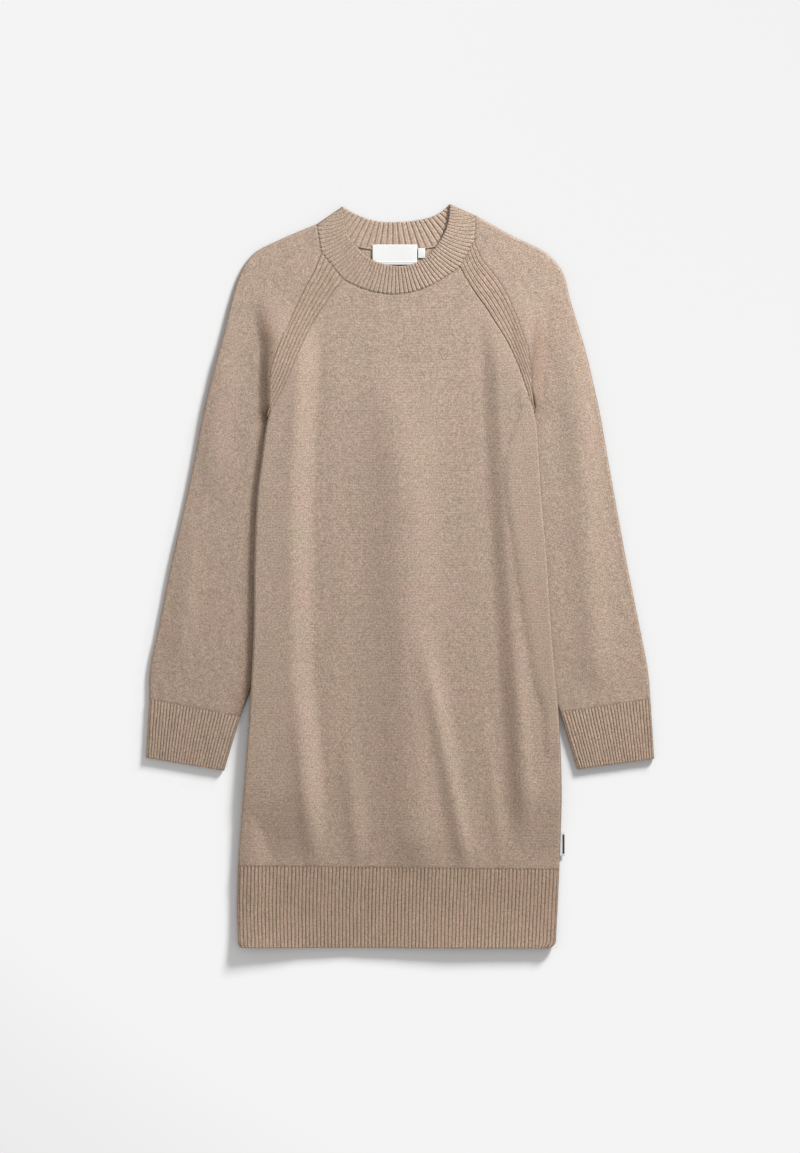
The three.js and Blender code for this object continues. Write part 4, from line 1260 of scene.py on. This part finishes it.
def fibres(name, roots, ways, lengths, width, seed):
    """Loose fibres: three-sided needles that bend halfway, from a root along a way.

    None goes below the floor."""
    rng = np.random.default_rng(seed)
    forward, level, up = turned_basis(ways)
    turn = np.arange(3) * 2 * math.pi / 3
    bend = rng.normal(0, FIBRES["bend"], (len(roots), 1, 1)) * lengths[:, None, None]
    ring = np.cos(turn)[None, :, None] * level[:, None] + np.sin(turn)[None, :, None] * up[:, None]
    roots = roots[:, None]
    reach = forward[:, None] * lengths[:, None, None]
    base = roots + ring * width / 2
    middle = roots + reach * 0.55 + level[:, None] * bend * 0.4 + ring * width / 2.6
    tip = roots + reach + level[:, None] * bend
    verts = np.concatenate([base, middle, tip], 1)
    faces = [(0, 2, 1)]
    for k in range(3):
        n = (k + 1) % 3
        faces += [(k, n, 3 + n), (k, 3 + n, 3 + k), (3 + k, 3 + n, 6)]
    all_faces = np.array(faces)[None] + 7 * np.arange(len(verts))[:, None, None]
    flat = verts.reshape(-1, 3)
    flat[:, 2] = np.maximum(flat[:, 2], FIBRES["floor"])
    uv = flat[:, :2] / WALE
    return make_mesh(name, flat * MM, all_faces.reshape(-1, 3), uv, np.ones(len(flat)), sharp=180.0)


def dress(piece, look, node=None):
    """Give a piece its look and its place in the frame."""
    piece.data.materials.append(look)
    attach(piece, "root")
    if node:
        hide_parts(node)
    return piece


def cloth(made, look, node):
    piece, outer, inner = made
    dress(piece, look, node)
    return piece


def plug(tree, made, inputs):
    """Give a node its inputs: a value goes on the socket, another node's output is linked to it."""
    for key, value in inputs.items():
        if isinstance(value, bpy.types.NodeSocket):
            tree.links.new(value, made.inputs[key])
        else:
            made.inputs[key].default_value = value


def node(tree, kind, inputs=None, output=0, **settings):
    """One output of a new node with its settings and inputs."""
    made = tree.nodes.new(kind)
    for name, value in settings.items():
        setattr(made, name, value)
    plug(tree, made, inputs or {})
    return made.outputs[output]


def calc(tree, operation, a, b=0.0, c=0.0):
    """A Math node's result."""
    return node(tree, "ShaderNodeMath", {0: a, 1: b, 2: c}, operation=operation)


def add(tree, base, amount, share):
    """base + amount * share."""
    return calc(tree, "MULTIPLY_ADD", amount, share, base)


def around(tree, base, pattern, amount):
    """base, lighter and darker by a pattern's distance from its middle."""
    return add(tree, base, calc(tree, "SUBTRACT", pattern, 0.5), amount)


def spread(tree, value, span, to=(0.0, 1.0)):
    """A value's share of a span, from one number to another."""
    ends = {"From Min": span[0], "From Max": span[1], "To Min": to[0], "To Max": to[1]}
    return node(tree, "ShaderNodeMapRange", {"Value": value, **ends})


def blend(tree, share, first, second):
    """A colour a share of the way from the first to the second."""
    inputs = {0: share, 6: (*first, 1.0), 7: (*second, 1.0)}
    return node(tree, "ShaderNodeMix", inputs, output=2, data_type="RGBA")


def scaled(tree, colour, light):
    """A colour times a brightness."""
    return node(tree, "ShaderNodeVectorMath", {0: colour, "Scale": light}, operation="SCALE")


def axes(tree, vector):
    """The x, y and z of a vector."""
    made = tree.nodes.new("ShaderNodeSeparateXYZ")
    tree.links.new(vector, made.inputs[0])
    return made.outputs


def bump(tree, height, strength, distance):
    """A surface's direction, changed as if it had that height."""
    inputs = {"Height": height, "Strength": strength, "Distance": distance}
    return node(tree, "ShaderNodeBump", inputs)


def noise(tree, place, scale, stretch=(1, 1, 1), detail=2.0):
    """Noise from 0 to 1 on a place, stretched by a Mapping node."""
    mapped = node(tree, "ShaderNodeMapping", {"Vector": place, "Scale": stretch})
    return node(tree, "ShaderNodeTexNoise", {"Vector": mapped, "Scale": scale, "Detail": detail})


def tinted(colour, tint):
    """A colour times a tint."""
    return tuple(colour[k] * tint[k] for k in range(3))


def new_look(name):
    """A material with nothing but its shader and output; made anew if its step runs again."""
    look = bpy.data.materials.get(name) or bpy.data.materials.new(name)
    look.use_nodes = True
    tree = look.node_tree
    shader = tree.nodes["Principled BSDF"]
    kept = ("ShaderNodeBsdfPrincipled", "ShaderNodeOutputMaterial")
    for made in [made for made in tree.nodes if made.bl_idname not in kept]:
        tree.nodes.remove(made)
    return look, tree, shader


def stitch(tree, wale, course, lean):
    """Height of a knit stitch, 0 to 1: two legs in each wale that lean out from its middle."""
    off = calc(tree, "ABSOLUTE", calc(tree, "SUBTRACT", calc(tree, "FRACT", wale), 0.5))
    from_leg = calc(tree, "MULTIPLY_ADD", off, 4.0, -1.0)
    leg = calc(tree, "SUBTRACT", 1.0, calc(tree, "MULTIPLY", from_leg, from_leg))
    phase = calc(tree, "FRACT", calc(tree, "MULTIPLY_ADD", off, -lean, course))
    arch = calc(tree, "SINE", calc(tree, "MULTIPLY", phase, math.pi))
    return calc(tree, "MULTIPLY", leg, calc(tree, "MULTIPLY_ADD", arch, 0.65, 0.35))


def knit_look(kind, looks):
    """Heather knit: stitches by UV, soft blotches, light and dark fibres and a matt bloom.

    kind is jersey or rib. The knit is lighter by its stitches. Painted light and shade make it
    lighter where its relief is high and where an edge is seen away from the light, darker where
    an edge faces it, and warmer in its hollows and towards the hem."""
    colour = getattr(looks, kind)
    look, tree, shader = new_look(f"{kind}_heather")
    uv = node(tree, "ShaderNodeUVMap", uv_map="knit")
    place = node(tree, "ShaderNodeTexCoord", output=3)
    relief = node(tree, "ShaderNodeAttribute", output=2, attribute_name="relief")
    facing = node(tree, "ShaderNodeNewGeometry", output=1)
    wale, course, _ = axes(tree, uv)
    knit = stitch(tree, wale, course, STITCH_LEAN[kind])
    pattern = {
        name: noise(tree, uv if name == "streak" else place, **sizes)
        for name, sizes in HEATHER.items()
    }

    light = around(tree, 1.0, pattern["speck"], looks.fibre_contrast)
    light = around(tree, light, pattern["streak"], looks.fibre_contrast * STREAK_SHARE)
    light = around(tree, light, pattern["blotch"], BLOTCH_LIGHT)
    fleck = spread(tree, pattern["fleck"], SPANS["fleck"])
    light = add(tree, light, fleck, looks.fibre_contrast * FLECK_SHARE)
    shade = add(tree, 1.0 - looks.stitch_contrast * STITCH_MIDDLE, knit, looks.stitch_contrast)
    # Painted light and shade from the relief attribute: darker in hollows, seams and creases,
    # lighter on slopes that face the key light
    hollow = add(tree, 1.0 - looks.hollow_depth, relief, looks.hollow_depth)
    light = calc(tree, "MULTIPLY", light, calc(tree, "MULTIPLY", shade, hollow))
    # Painted light and shade: an edge seen edge on is painted lighter where it faces away from the
    # key light and darker where it faces it
    lit = node(
        tree, "ShaderNodeVectorMath", {0: facing, 1: (*LIGHT_WAY, 0.0)}, 1, operation="DOT_PRODUCT"
    )
    painted_edge_light = spread(tree, lit, SPANS["edge"], to=(EDGE_PAINTED_LIGHT["away"], EDGE_PAINTED_LIGHT["towards"]))
    edge_on = calc(tree, "SUBTRACT", 1.0, calc(tree, "ABSOLUTE", axes(tree, facing)[2]))
    light = calc(tree, "MULTIPLY", light, add(tree, 1.0, edge_on, painted_edge_light))

    half_blotch = calc(tree, "MULTIPLY", pattern["blotch"], 0.5)
    tint = spread(tree, add(tree, half_blotch, pattern["cloud"], 0.5), SPANS["tint"])
    hue = blend(tree, tint, tinted(colour, TINTS["green"]), tinted(colour, TINTS["pink"]))
    # Painted warm shade: deep places and the lower cloth are painted warmer, open places a little
    # cooler
    depth = spread(tree, add(tree, relief, axes(tree, place)[1], PAINTED_WARM_SHADE_DOWN), SPANS["depth"])
    warm = blend(tree, depth, TINTS["deep"], TINTS["open"])
    hue = node(tree, "ShaderNodeVectorMath", {0: hue, 1: warm}, operation="MULTIPLY")

    height = add(tree, add(tree, knit, pattern["speck"], 0.7), pattern["bloom"], 0.25)
    plug(tree, shader, {
        "Base Color": scaled(tree, hue, light),
        "Normal": bump(tree, height, 1.0, looks.stitch_bump),
        "Roughness": add(tree, 0.87, pattern["bloom"], 0.1),
        "Specular IOR Level": 0.15,
        "Subsurface Weight": 0.3,
        "Subsurface Radius": (1.0, 0.8, 0.68),
        "Subsurface Scale": 0.003,
        "Sheen Weight": 0.08,
        "Sheen Roughness": 0.5,
        "Sheen Tint": (*tinted(colour, (1.5, 1.5, 1.5)), 1.0),
    })
    return look


def woven_look(name, colour):
    """Fine satin weave of a label: crossed waves of threads, with slightly uneven whiteness."""
    look, tree, shader = new_look(name)
    place = node(tree, "ShaderNodeTexCoord", output=3)
    across, down = (
        node(
            tree, "ShaderNodeTexWave", {"Vector": place, "Scale": scale}, output=1,
            wave_type="BANDS", bands_direction=direction, wave_profile="SIN",
        )
        for direction, scale in WEAVE.items()
    )
    weave = calc(tree, "MULTIPLY", across, down)
    light = add(tree, add(tree, 0.92, noise(tree, place, 300.0), 0.08), weave, 0.07)
    plug(tree, shader, {
        "Base Color": scaled(tree, tuple(colour), light),
        "Normal": bump(tree, weave, 0.6, 0.0001),
        "Roughness": 0.55,
        "Specular IOR Level": 0.35,
        "Sheen Weight": 0.1,
    })
    return look


def key_brightness(places, power):
    """Brightness that the key light gives a level white face: it falls with the distance's cube."""
    light = np.array(KEY_PLACE)
    away = light - places
    far = np.linalg.norm(away, axis=-1)
    facing = (away @ light) / np.linalg.norm(light) / far
    return power * np.maximum(facing, 0) * away[:, 2] / far**3 / math.pi**2


def floor_look(colour):
    """Pale studio paper with a very faint grain, toned so that it looks even in the key light."""
    look, tree, shader = new_look("floor_paper")
    place = node(tree, "ShaderNodeTexCoord", output=3)
    tone = node(tree, "ShaderNodeAttribute", output=2, attribute_name="relief")
    grain = add(tree, 0.995, noise(tree, place, 400.0), 0.01)
    light = calc(tree, "MULTIPLY", grain, tone)
    plug(tree, shader, {
        "Base Color": scaled(tree, tuple(colour), light),
        "Roughness": 0.9,
        "Specular IOR Level": 0.0,
    })
    return look


def ways_along(path, share, reach):
    """A line's directions at shares of its length, each taken over a reach to both sides."""
    ways = along(path, np.minimum(share + reach, 1)) - along(path, np.maximum(share - reach, 0))
    return ways / np.linalg.norm(ways, axis=1, keepdims=True)


def seam_line(path, step, offset=0.0):
    """Places evenly along a line in plan, moved sideways, with the line's direction there."""
    length = np.linalg.norm(np.diff(path, axis=0), axis=1).sum()
    count = int(length / step)
    share = (np.arange(count) + 0.5) / count
    ways = ways_along(path, share, 0.004)
    return along(path, share) + offset * left_of(ways), ways


def knit_top(x, y):
    """Height of the front's outside, as its panel has it."""
    return front_under(x, y) + WALL + crinkle(x, y, JERSEY_WAVES, SEEDS["front"])


def heads(name, path, under, ribs, look):
    """The small rounded head of each rib on the seam where the rib begins."""
    share = (np.arange(ribs) + 0.5) / ribs
    places = along(path, share)
    rng = np.random.default_rng(ribs)
    x = places[:, 0]
    y = places[:, 1] - HEADS["below"] + rng.normal(0, HEADS["vary"], ribs)
    z = under(x, y) + WALL - HEADS["sunk"]
    ways = np.stack([rng.normal(0, HEADS["turn"], ribs), np.ones(ribs), np.zeros(ribs)], -1)
    return dress(loops(name, np.stack([x, y, z], -1), ways, HEADS["size"]), look)


def raglan_marks(side, rng):
    """The shaping marks on the front beside a raglan band, which lean away from its seam."""
    path = curve(column(RAGLAN[side], "body"), np.linspace(0, 0.93, 60))
    places, ways = seam_line(path, MARKS["apart"], SIGN[side] * MARKS["beside"])
    turn = math.radians(SIGN[side] * MARKS["lean"]) + rng.normal(0, MARKS["vary"], len(ways))
    turned = np.cos(turn)[:, None] * ways + np.sin(turn)[:, None] * left_of(ways)
    spots = put_heights(places, knit_top(*places.T) - MARKS["sunk"])
    return loops(f"raglan_marks_{side}", spots, flat_ways(turned), MARKS["size"])


def neck_linking(step):
    """The linking stitches of the front's neck seam, end to end in its groove."""
    places, ways = seam_line(neck_seam(True)[1:-1], step)
    spots = put_heights(places, knit_top(*places.T) - NECK_STITCH["sunk"])
    size = (step * NECK_STITCH["share"], NECK_STITCH["width"], NECK_STITCH["height"])
    return loops("neck_linking", spots, flat_ways(ways), size)


def back_neck_ridge():
    """The ridge of the back neck seam, which weaves a little on the back's inside."""
    inside = neck_seam(False)
    inside = inside[np.abs(inside[:, 0]) < BACK_RIDGE["reach"]]
    inside = along(inside, np.linspace(0, 1, 60))
    inside[:, 1] += BACK_RIDGE["above"] + BACK_RIDGE["weave"] * np.sin(np.arange(60) * 1.9)
    path = put_heights(inside, np.full(60, WALL + BACK_RIDGE["raised"]))
    return ridge("back_neck_linking", path, BACK_RIDGE["width"], BACK_RIDGE["height"])


def outlines():
    """The dress's outlines in plan: each line, the side its outside is on, and its level."""
    dense = np.linspace(0, 1, 80)
    hem_edge = np.array([HEM[-1]["left"], HEM[-1]["right"]], float)
    lines = [(hem_edge, -1, WALL), (curve(NECK_FREE_FRONT, dense), -1, STACK)]
    lines.append((curve(NECK_FREE_BACK, dense), 1, WALL))
    for side, sign in SIGN.items():
        top, end = ARM[side][-1], CUFF_END[side]
        free_arm = curve(column(ARM[side], "inner"), dense)[20:]
        sides = [
            ([row[side] for row in BODY[3:] + HEM], sign),
            (curve(column(RAGLAN[side], "fold"), dense), sign),
            (curve(column(ARM[side], "outer"), dense), sign),
            (free_arm, -sign),
            ([top["outer"], end["outer"]], sign),
            ([top["inner"], end["inner"]], -sign),
            ([end["outer"], end["inner"]], -sign),
        ]
        lines += [(np.array(line, float), outer, STACK / 2) for line, outer in sides]
    return lines


def edge_roots(total, rng):
    """Roots and ways of the fibres along the outlines, as many on each as its length asks for."""
    lines = outlines()
    lengths = [np.linalg.norm(np.diff(line, axis=0), axis=1).sum() for line, _, _ in lines]
    roots, ways = [], []
    for (line, outer, level), length in zip(lines, lengths):
        count = int(total * length / sum(lengths))
        share = rng.random(count)
        places = along(line, share)
        run = ways_along(line, share, 0.01)
        away = outer * left_of(run)
        z = level + back_under(places[:, 0], places[:, 1]) + rng.normal(0, 0.5, count)
        roots.append(put_heights(places - 0.5 * away, z))
        way = away + run * rng.normal(0, 0.9, (count, 1))
        ways.append(np.concatenate([way, rng.normal(0.15, 0.35, (count, 1))], 1))
    return np.concatenate(roots), np.concatenate(ways)


def surface_roots(total, rng):
    """Roots on the panels' points, and ways that lie almost flat in any direction."""
    grids = FIBRE_GROUND.values()
    share = total / sum(grid.shape[0] * grid.shape[1] for grid in grids)
    roots = []
    for grid in grids:
        count = int(share * grid.shape[0] * grid.shape[1])
        row = rng.integers(0, grid.shape[0], count)
        col = rng.integers(CURL, grid.shape[1] - CURL, count)
        roots.append(grid[row, col])
    roots = np.concatenate(roots)
    turn = rng.random(len(roots)) * 2 * math.pi
    ways = np.stack([np.cos(turn), np.sin(turn), rng.uniform(0.05, 0.5, len(roots))], -1)
    return roots, ways


def floor(looks):
    """The floor: a square grid, finest below the dress, whose paper evens out the key light."""
    line = np.sinh(np.linspace(-FLOOR_CROWDING, FLOOR_CROWDING, FLOOR_LINES))
    line = line / np.sinh(FLOOR_CROWDING) * FLOOR_HALF
    x, y = (grid.ravel() for grid in np.meshgrid(line, line))
    verts = np.stack([x, y, np.full(x.shape, FLOOR_LEVEL)], -1)
    faces = quads(np.arange(len(x)).reshape(len(line), -1))[:, [0, 3, 2, 1]]
    bright = looks.fill_light + key_brightness(verts, looks.key_light)
    paper = np.clip(FLOOR_BRIGHT / bright, *PAPER)
    piece = make_mesh("floor_paper", verts, faces, verts[:, :2], paper)
    piece.data.materials.append(floor_look(looks.floor))
    return piece


def key_light(power):
    """The soft key light, turned towards the middle of the dress."""
    panel = bpy.data.lights.new("key_light", "AREA")
    panel.shape = "SQUARE"
    panel.size = KEY_WIDTH
    panel.energy = power
    key = bpy.data.objects.new("key_light", panel)
    key.location = KEY_PLACE
    key.rotation_euler = (-Vector(KEY_PLACE)).to_track_quat("-Z", "Y").to_euler()
    return key


def studio_air(strength):
    """White light from all round."""
    world = bpy.data.worlds.new("studio")
    world.use_nodes = True
    sky = world.node_tree.nodes["Background"]
    plug(world.node_tree, sky, {"Color": (1.0, 1.0, 1.0, 1.0), "Strength": strength})
    return world


def camera():
    """The camera straight above the photograph's middle, which lies half a pixel below 0."""
    height = PHOTO_PIXELS[1] * MM_PER_PIXEL * MM
    lens = bpy.data.cameras.new("camera")
    lens.sensor_fit = "VERTICAL"
    lens.sensor_height = SENSOR
    lens.lens = SENSOR * CAMERA_HEIGHT / height
    lens.clip_start, lens.clip_end = 0.05, 50.0
    piece = bpy.data.objects.new("camera", lens)
    piece.location = (0.0, -0.5 * MM_PER_PIXEL * MM, CAMERA_HEIGHT)
    return piece


class DressSizes(bpy.types.PropertyGroup):
    """Sizes of the dress that may be changed"""

    rib_rise: bpy.props.FloatProperty(
        name="Rib rise", description="How far the ribs stand above the plain cloth",
        default=0.0008, min=0.0, max=0.002, precision=4, unit="LENGTH",
    )
    stitch_length: bpy.props.FloatProperty(
        name="Seam stitch", description="Length of a linking stitch along the seams",
        default=0.0026, min=0.001, max=0.006, precision=4, unit="LENGTH",
    )
    fibre_length: bpy.props.FloatProperty(
        name="Fibre length", description="Length of the loose fibres of the brushed wool",
        default=0.0022, min=0.0005, max=0.006, precision=4, unit="LENGTH",
    )
    edge_fibres: bpy.props.IntProperty(
        name="Edge fibres", description="Loose fibres along the outlines", default=10000, min=0,
    )
    top_fibres: bpy.props.IntProperty(
        name="Surface fibres", description="Loose fibres that lie on the cloth",
        default=12000, min=0,
    )


class DressLooks(bpy.types.PropertyGroup):
    """Colours and finish of the dress"""

    jersey: bpy.props.FloatVectorProperty(
        name="Jersey", description="Colour of the plain knit",
        subtype="COLOR", default=(0.376, 0.284, 0.221), min=0.0, max=1.0,
    )
    rib: bpy.props.FloatVectorProperty(
        name="Rib", description="Colour of the ribbed bands",
        subtype="COLOR", default=(0.383, 0.288, 0.223), min=0.0, max=1.0,
    )
    label: bpy.props.FloatVectorProperty(
        name="Label", description="Colour of the woven labels",
        subtype="COLOR", default=(0.62, 0.62, 0.61), min=0.0, max=1.0,
    )
    strip: bpy.props.FloatVectorProperty(
        name="Strip", description="Colour of the plain strip on the side tab",
        subtype="COLOR", default=(0.03, 0.03, 0.03), min=0.0, max=1.0,
    )
    floor: bpy.props.FloatVectorProperty(
        name="Floor", description="Tint of the studio floor",
        subtype="COLOR", default=(1.0, 1.0, 1.0), min=0.0, max=1.0,
    )
    fibre_contrast: bpy.props.FloatProperty(
        name="Fibre contrast", description="Light and dark of the heather fibres",
        default=1.4, min=0.0, max=2.0, subtype="FACTOR",
    )
    stitch_contrast: bpy.props.FloatProperty(
        name="Stitch contrast", description="How dark it is between the stitches",
        default=0.15, min=0.0, max=1.0, subtype="FACTOR",
    )
    # Painted shade: how dark the relief paints the hollows of ribs and seams
    hollow_depth: bpy.props.FloatProperty(
        name="Hollow depth", description="How dark the hollows of ribs and seams are",
        default=0.45, min=0.0, max=1.0, subtype="FACTOR",
    )
    stitch_bump: bpy.props.FloatProperty(
        name="Stitch height", description="Height of a stitch above the gaps beside it",
        default=0.0003, min=0.0, max=0.002, precision=5, unit="LENGTH",
    )
    key_light: bpy.props.FloatProperty(
        name="Key light", description="Power of the soft light from the upper right, in watts",
        default=138.0, min=0.0, max=2000.0,
    )
    fill_light: bpy.props.FloatProperty(
        name="Fill light", description="Strength of the light from all round",
        default=0.52, min=0.0, max=5.0,
    )


class DRESS_OT_body(bpy.types.Operator):
    """Make the front and the back of the dress"""

    bl_idname = "dress.body"
    bl_label = "Body"

    def execute(self, context):
        look = knit_look("jersey", context.scene.dress_looks)
        back = cloth(body_panel(False), look, "back")
        made = body_panel(True)
        FIBRE_GROUND["front"] = made[1]
        cloth(made, look, "front")
        return {"FINISHED"}


class DRESS_OT_sleeves(bpy.types.Operator):
    """Make both sleeves, each one folded piece"""

    bl_idname = "dress.sleeves"
    bl_label = "Sleeves"

    def execute(self, context):
        look = knit_look("jersey", context.scene.dress_looks)
        for side in SIDES:
            made = sleeve(side)
            FIBRE_GROUND[side] = made[1][:, :CURL + SLEEVE_COLUMNS[0] + 1]
            cloth(made, look, f"sleeve_{side}")
        return {"FINISHED"}


class DRESS_OT_raglan_bands(bpy.types.Operator):
    """Make the ribbed bands between the body and the sleeves, front and back"""

    bl_idname = "dress.raglan_bands"
    bl_label = "Raglan bands"

    def execute(self, context):
        look = knit_look("rib", context.scene.dress_looks)
        for side in SIDES:
            back = raglan_band_back(side)
            cloth(back, look, f"raglan_back_{side}")
            front = raglan_band(side, context.scene.dress_sizes)
            cloth(front, look, f"raglan_front_{side}")
        return {"FINISHED"}


class DRESS_OT_hem_rib(bpy.types.Operator):
    """Make the deep hem rib, front and back, and the heads of its ribs"""

    bl_idname = "dress.hem_rib"
    bl_label = "Hem rib"

    def execute(self, context):
        look = knit_look("rib", context.scene.dress_looks)
        sizes = context.scene.dress_sizes
        back = cloth(hem_panel(False, sizes), look, "hem_back")
        cloth(hem_panel(True, sizes), look, "hem_front")
        inset = STACK / 2
        path = np.array([HEM[0][side] for side in SIDES]) + [[inset, 0], [-inset, 0]]
        heads("hem_rib_heads", path, front_under, HEM_RIBS, look)
        return {"FINISHED"}


class DRESS_OT_cuffs(bpy.types.Operator):
    """Make both cuffs and the heads of their ribs"""

    bl_idname = "dress.cuffs"
    bl_label = "Cuffs"

    def execute(self, context):
        look = knit_look("rib", context.scene.dress_looks)
        for side in SIDES:
            made = cuff(side, context.scene.dress_sizes)
            cloth(made, look, f"cuff_{side}")
            top = ARM[side][-1]
            path = np.array([top["inner"], top["outer"]], float)
            step = (path[1] - path[0]) / np.linalg.norm(path[1] - path[0]) * STACK / 2
            path = path + np.stack([step, -step])
            heads(f"cuff_rib_heads_{side}", path, flat_under, CUFF_RIBS, look)
        return {"FINISHED"}


class DRESS_OT_neckband(bpy.types.Operator):
    """Make the ribbed neckband, one ring round the opening"""

    bl_idname = "dress.neckband"
    bl_label = "Neckband"

    def execute(self, context):
        look = knit_look("rib", context.scene.dress_looks)
        made = neckband(context.scene.dress_sizes)
        cloth(made, look, "neckband")
        return {"FINISHED"}


class DRESS_OT_labels(bpy.types.Operator):
    """Make the bare neck label, the bare tab beside it and the side tab with its plain strip"""

    bl_idname = "dress.labels"
    bl_label = "Labels"

    def execute(self, context):
        looks = context.scene.dress_looks
        woven = woven_look("label_weave", looks.label)
        label = flat_cloth("neck_label_cloth", NECK_LABEL, label_level)
        dress(label, woven, "neck_label")
        tab = flat_cloth("size_tab_cloth", SIZE_TAB, size_tab_level)
        dress(tab, woven, "size_tab")
        side_tab = flat_cloth("side_tab_cloth", SIDE_TAB, side_tab_level, side_tab_start)
        dress(side_tab, woven, "side_tab")
        strip = woven_look("strip_weave", looks.strip)
        dress(flat_cloth("side_tab_strip", TAB_STRIP, strip_level), strip)
        return {"FINISHED"}


class DRESS_OT_seams(bpy.types.Operator):
    """Make the linking stitches, the shaping marks and the ridge of the back neck seam"""

    bl_idname = "dress.seams"
    bl_label = "Seams"

    def execute(self, context):
        looks = context.scene.dress_looks
        jersey, rib = knit_look("jersey", looks), knit_look("rib", looks)
        rng = np.random.default_rng(SEEDS["marks"])
        for side in SIDES:
            dress(raglan_marks(side, rng), jersey)
        dress(neck_linking(context.scene.dress_sizes.stitch_length / MM), rib)
        dress(back_neck_ridge(), rib)
        return {"FINISHED"}


class DRESS_OT_fibres(bpy.types.Operator):
    """Make the loose fibres of the brushed wool, along the outlines and on the cloth"""

    bl_idname = "dress.fibres"
    bl_label = "Fibres"

    def execute(self, context):
        sizes = context.scene.dress_sizes
        look = knit_look("jersey", context.scene.dress_looks)
        rng = np.random.default_rng(SEEDS["fibres"])
        kinds = {
            "edge_fibres": (edge_roots, sizes.edge_fibres, FIBRES["edge"]),
            "surface_fibres": (surface_roots, sizes.top_fibres, FIBRES["surface"]),
        }
        for name, (make_roots, total, width) in kinds.items():
            roots, ways = make_roots(total, rng)
            long = sizes.fibre_length / MM * rng.lognormal(0.0, FIBRES["spread"], len(roots))
            long = np.minimum(long, FIBRES["longest"])
            dress(fibres(name, roots, ways, long, width, SEEDS[name]), look)
        return {"FINISHED"}


class DRESS_OT_stage(bpy.types.Operator):
    """Make the floor, the soft light from the upper right, the fill light and the camera"""

    bl_idname = "dress.stage"
    bl_label = "Stage"

    def execute(self, context):
        scene = context.scene
        looks = scene.dress_looks
        floor(looks)
        scene.collection.objects.link(key_light(looks.key_light))
        scene.world = studio_air(looks.fill_light)
        scene.view_settings.view_transform = "Standard"
        scene.camera = camera()
        scene.collection.objects.link(scene.camera)
        return {"FINISHED"}


class DRESS_PT_panel(bpy.types.Panel):
    """The dress in the sidebar"""

    bl_label = "Knitted dress"
    bl_idname = "DRESS_PT_panel"
    bl_space_type = "VIEW_3D"
    bl_region_type = "UI"
    bl_category = "Dress"

    def draw(self, context):
        layout = self.layout
        for group in (context.scene.dress_sizes, context.scene.dress_looks):
            box = layout.box()
            for name in group.__annotations__:
                box.prop(group, name)
        for step in STEPS:
            layout.operator(step.bl_idname)


STEPS = (
    DRESS_OT_body, DRESS_OT_sleeves, DRESS_OT_raglan_bands, DRESS_OT_hem_rib, DRESS_OT_cuffs,
    DRESS_OT_neckband, DRESS_OT_labels, DRESS_OT_seams, DRESS_OT_fibres, DRESS_OT_stage,
)
CLASSES = (DressSizes, DressLooks, *STEPS, DRESS_PT_panel)


def register():
    """Make the classes and the two groups of settings known to Blender."""
    for kind in CLASSES:
        bpy.utils.register_class(kind)
    bpy.types.Scene.dress_sizes = bpy.props.PointerProperty(type=DressSizes)
    bpy.types.Scene.dress_looks = bpy.props.PointerProperty(type=DressLooks)


def unregister():
    """Take them away again."""
    del bpy.types.Scene.dress_looks
    del bpy.types.Scene.dress_sizes
    for kind in reversed(CLASSES):
        bpy.utils.unregister_class(kind)


def main():
    """Build the dress and its stage."""
    register()
    bpy.ops.dress.body()
    bpy.ops.dress.sleeves()
    bpy.ops.dress.raglan_bands()
    bpy.ops.dress.hem_rib()
    bpy.ops.dress.cuffs()
    bpy.ops.dress.neckband()
    bpy.ops.dress.labels()
    bpy.ops.dress.seams()
    bpy.ops.dress.fibres()
    bpy.ops.dress.stage()


if __name__ == "__main__":
    main()
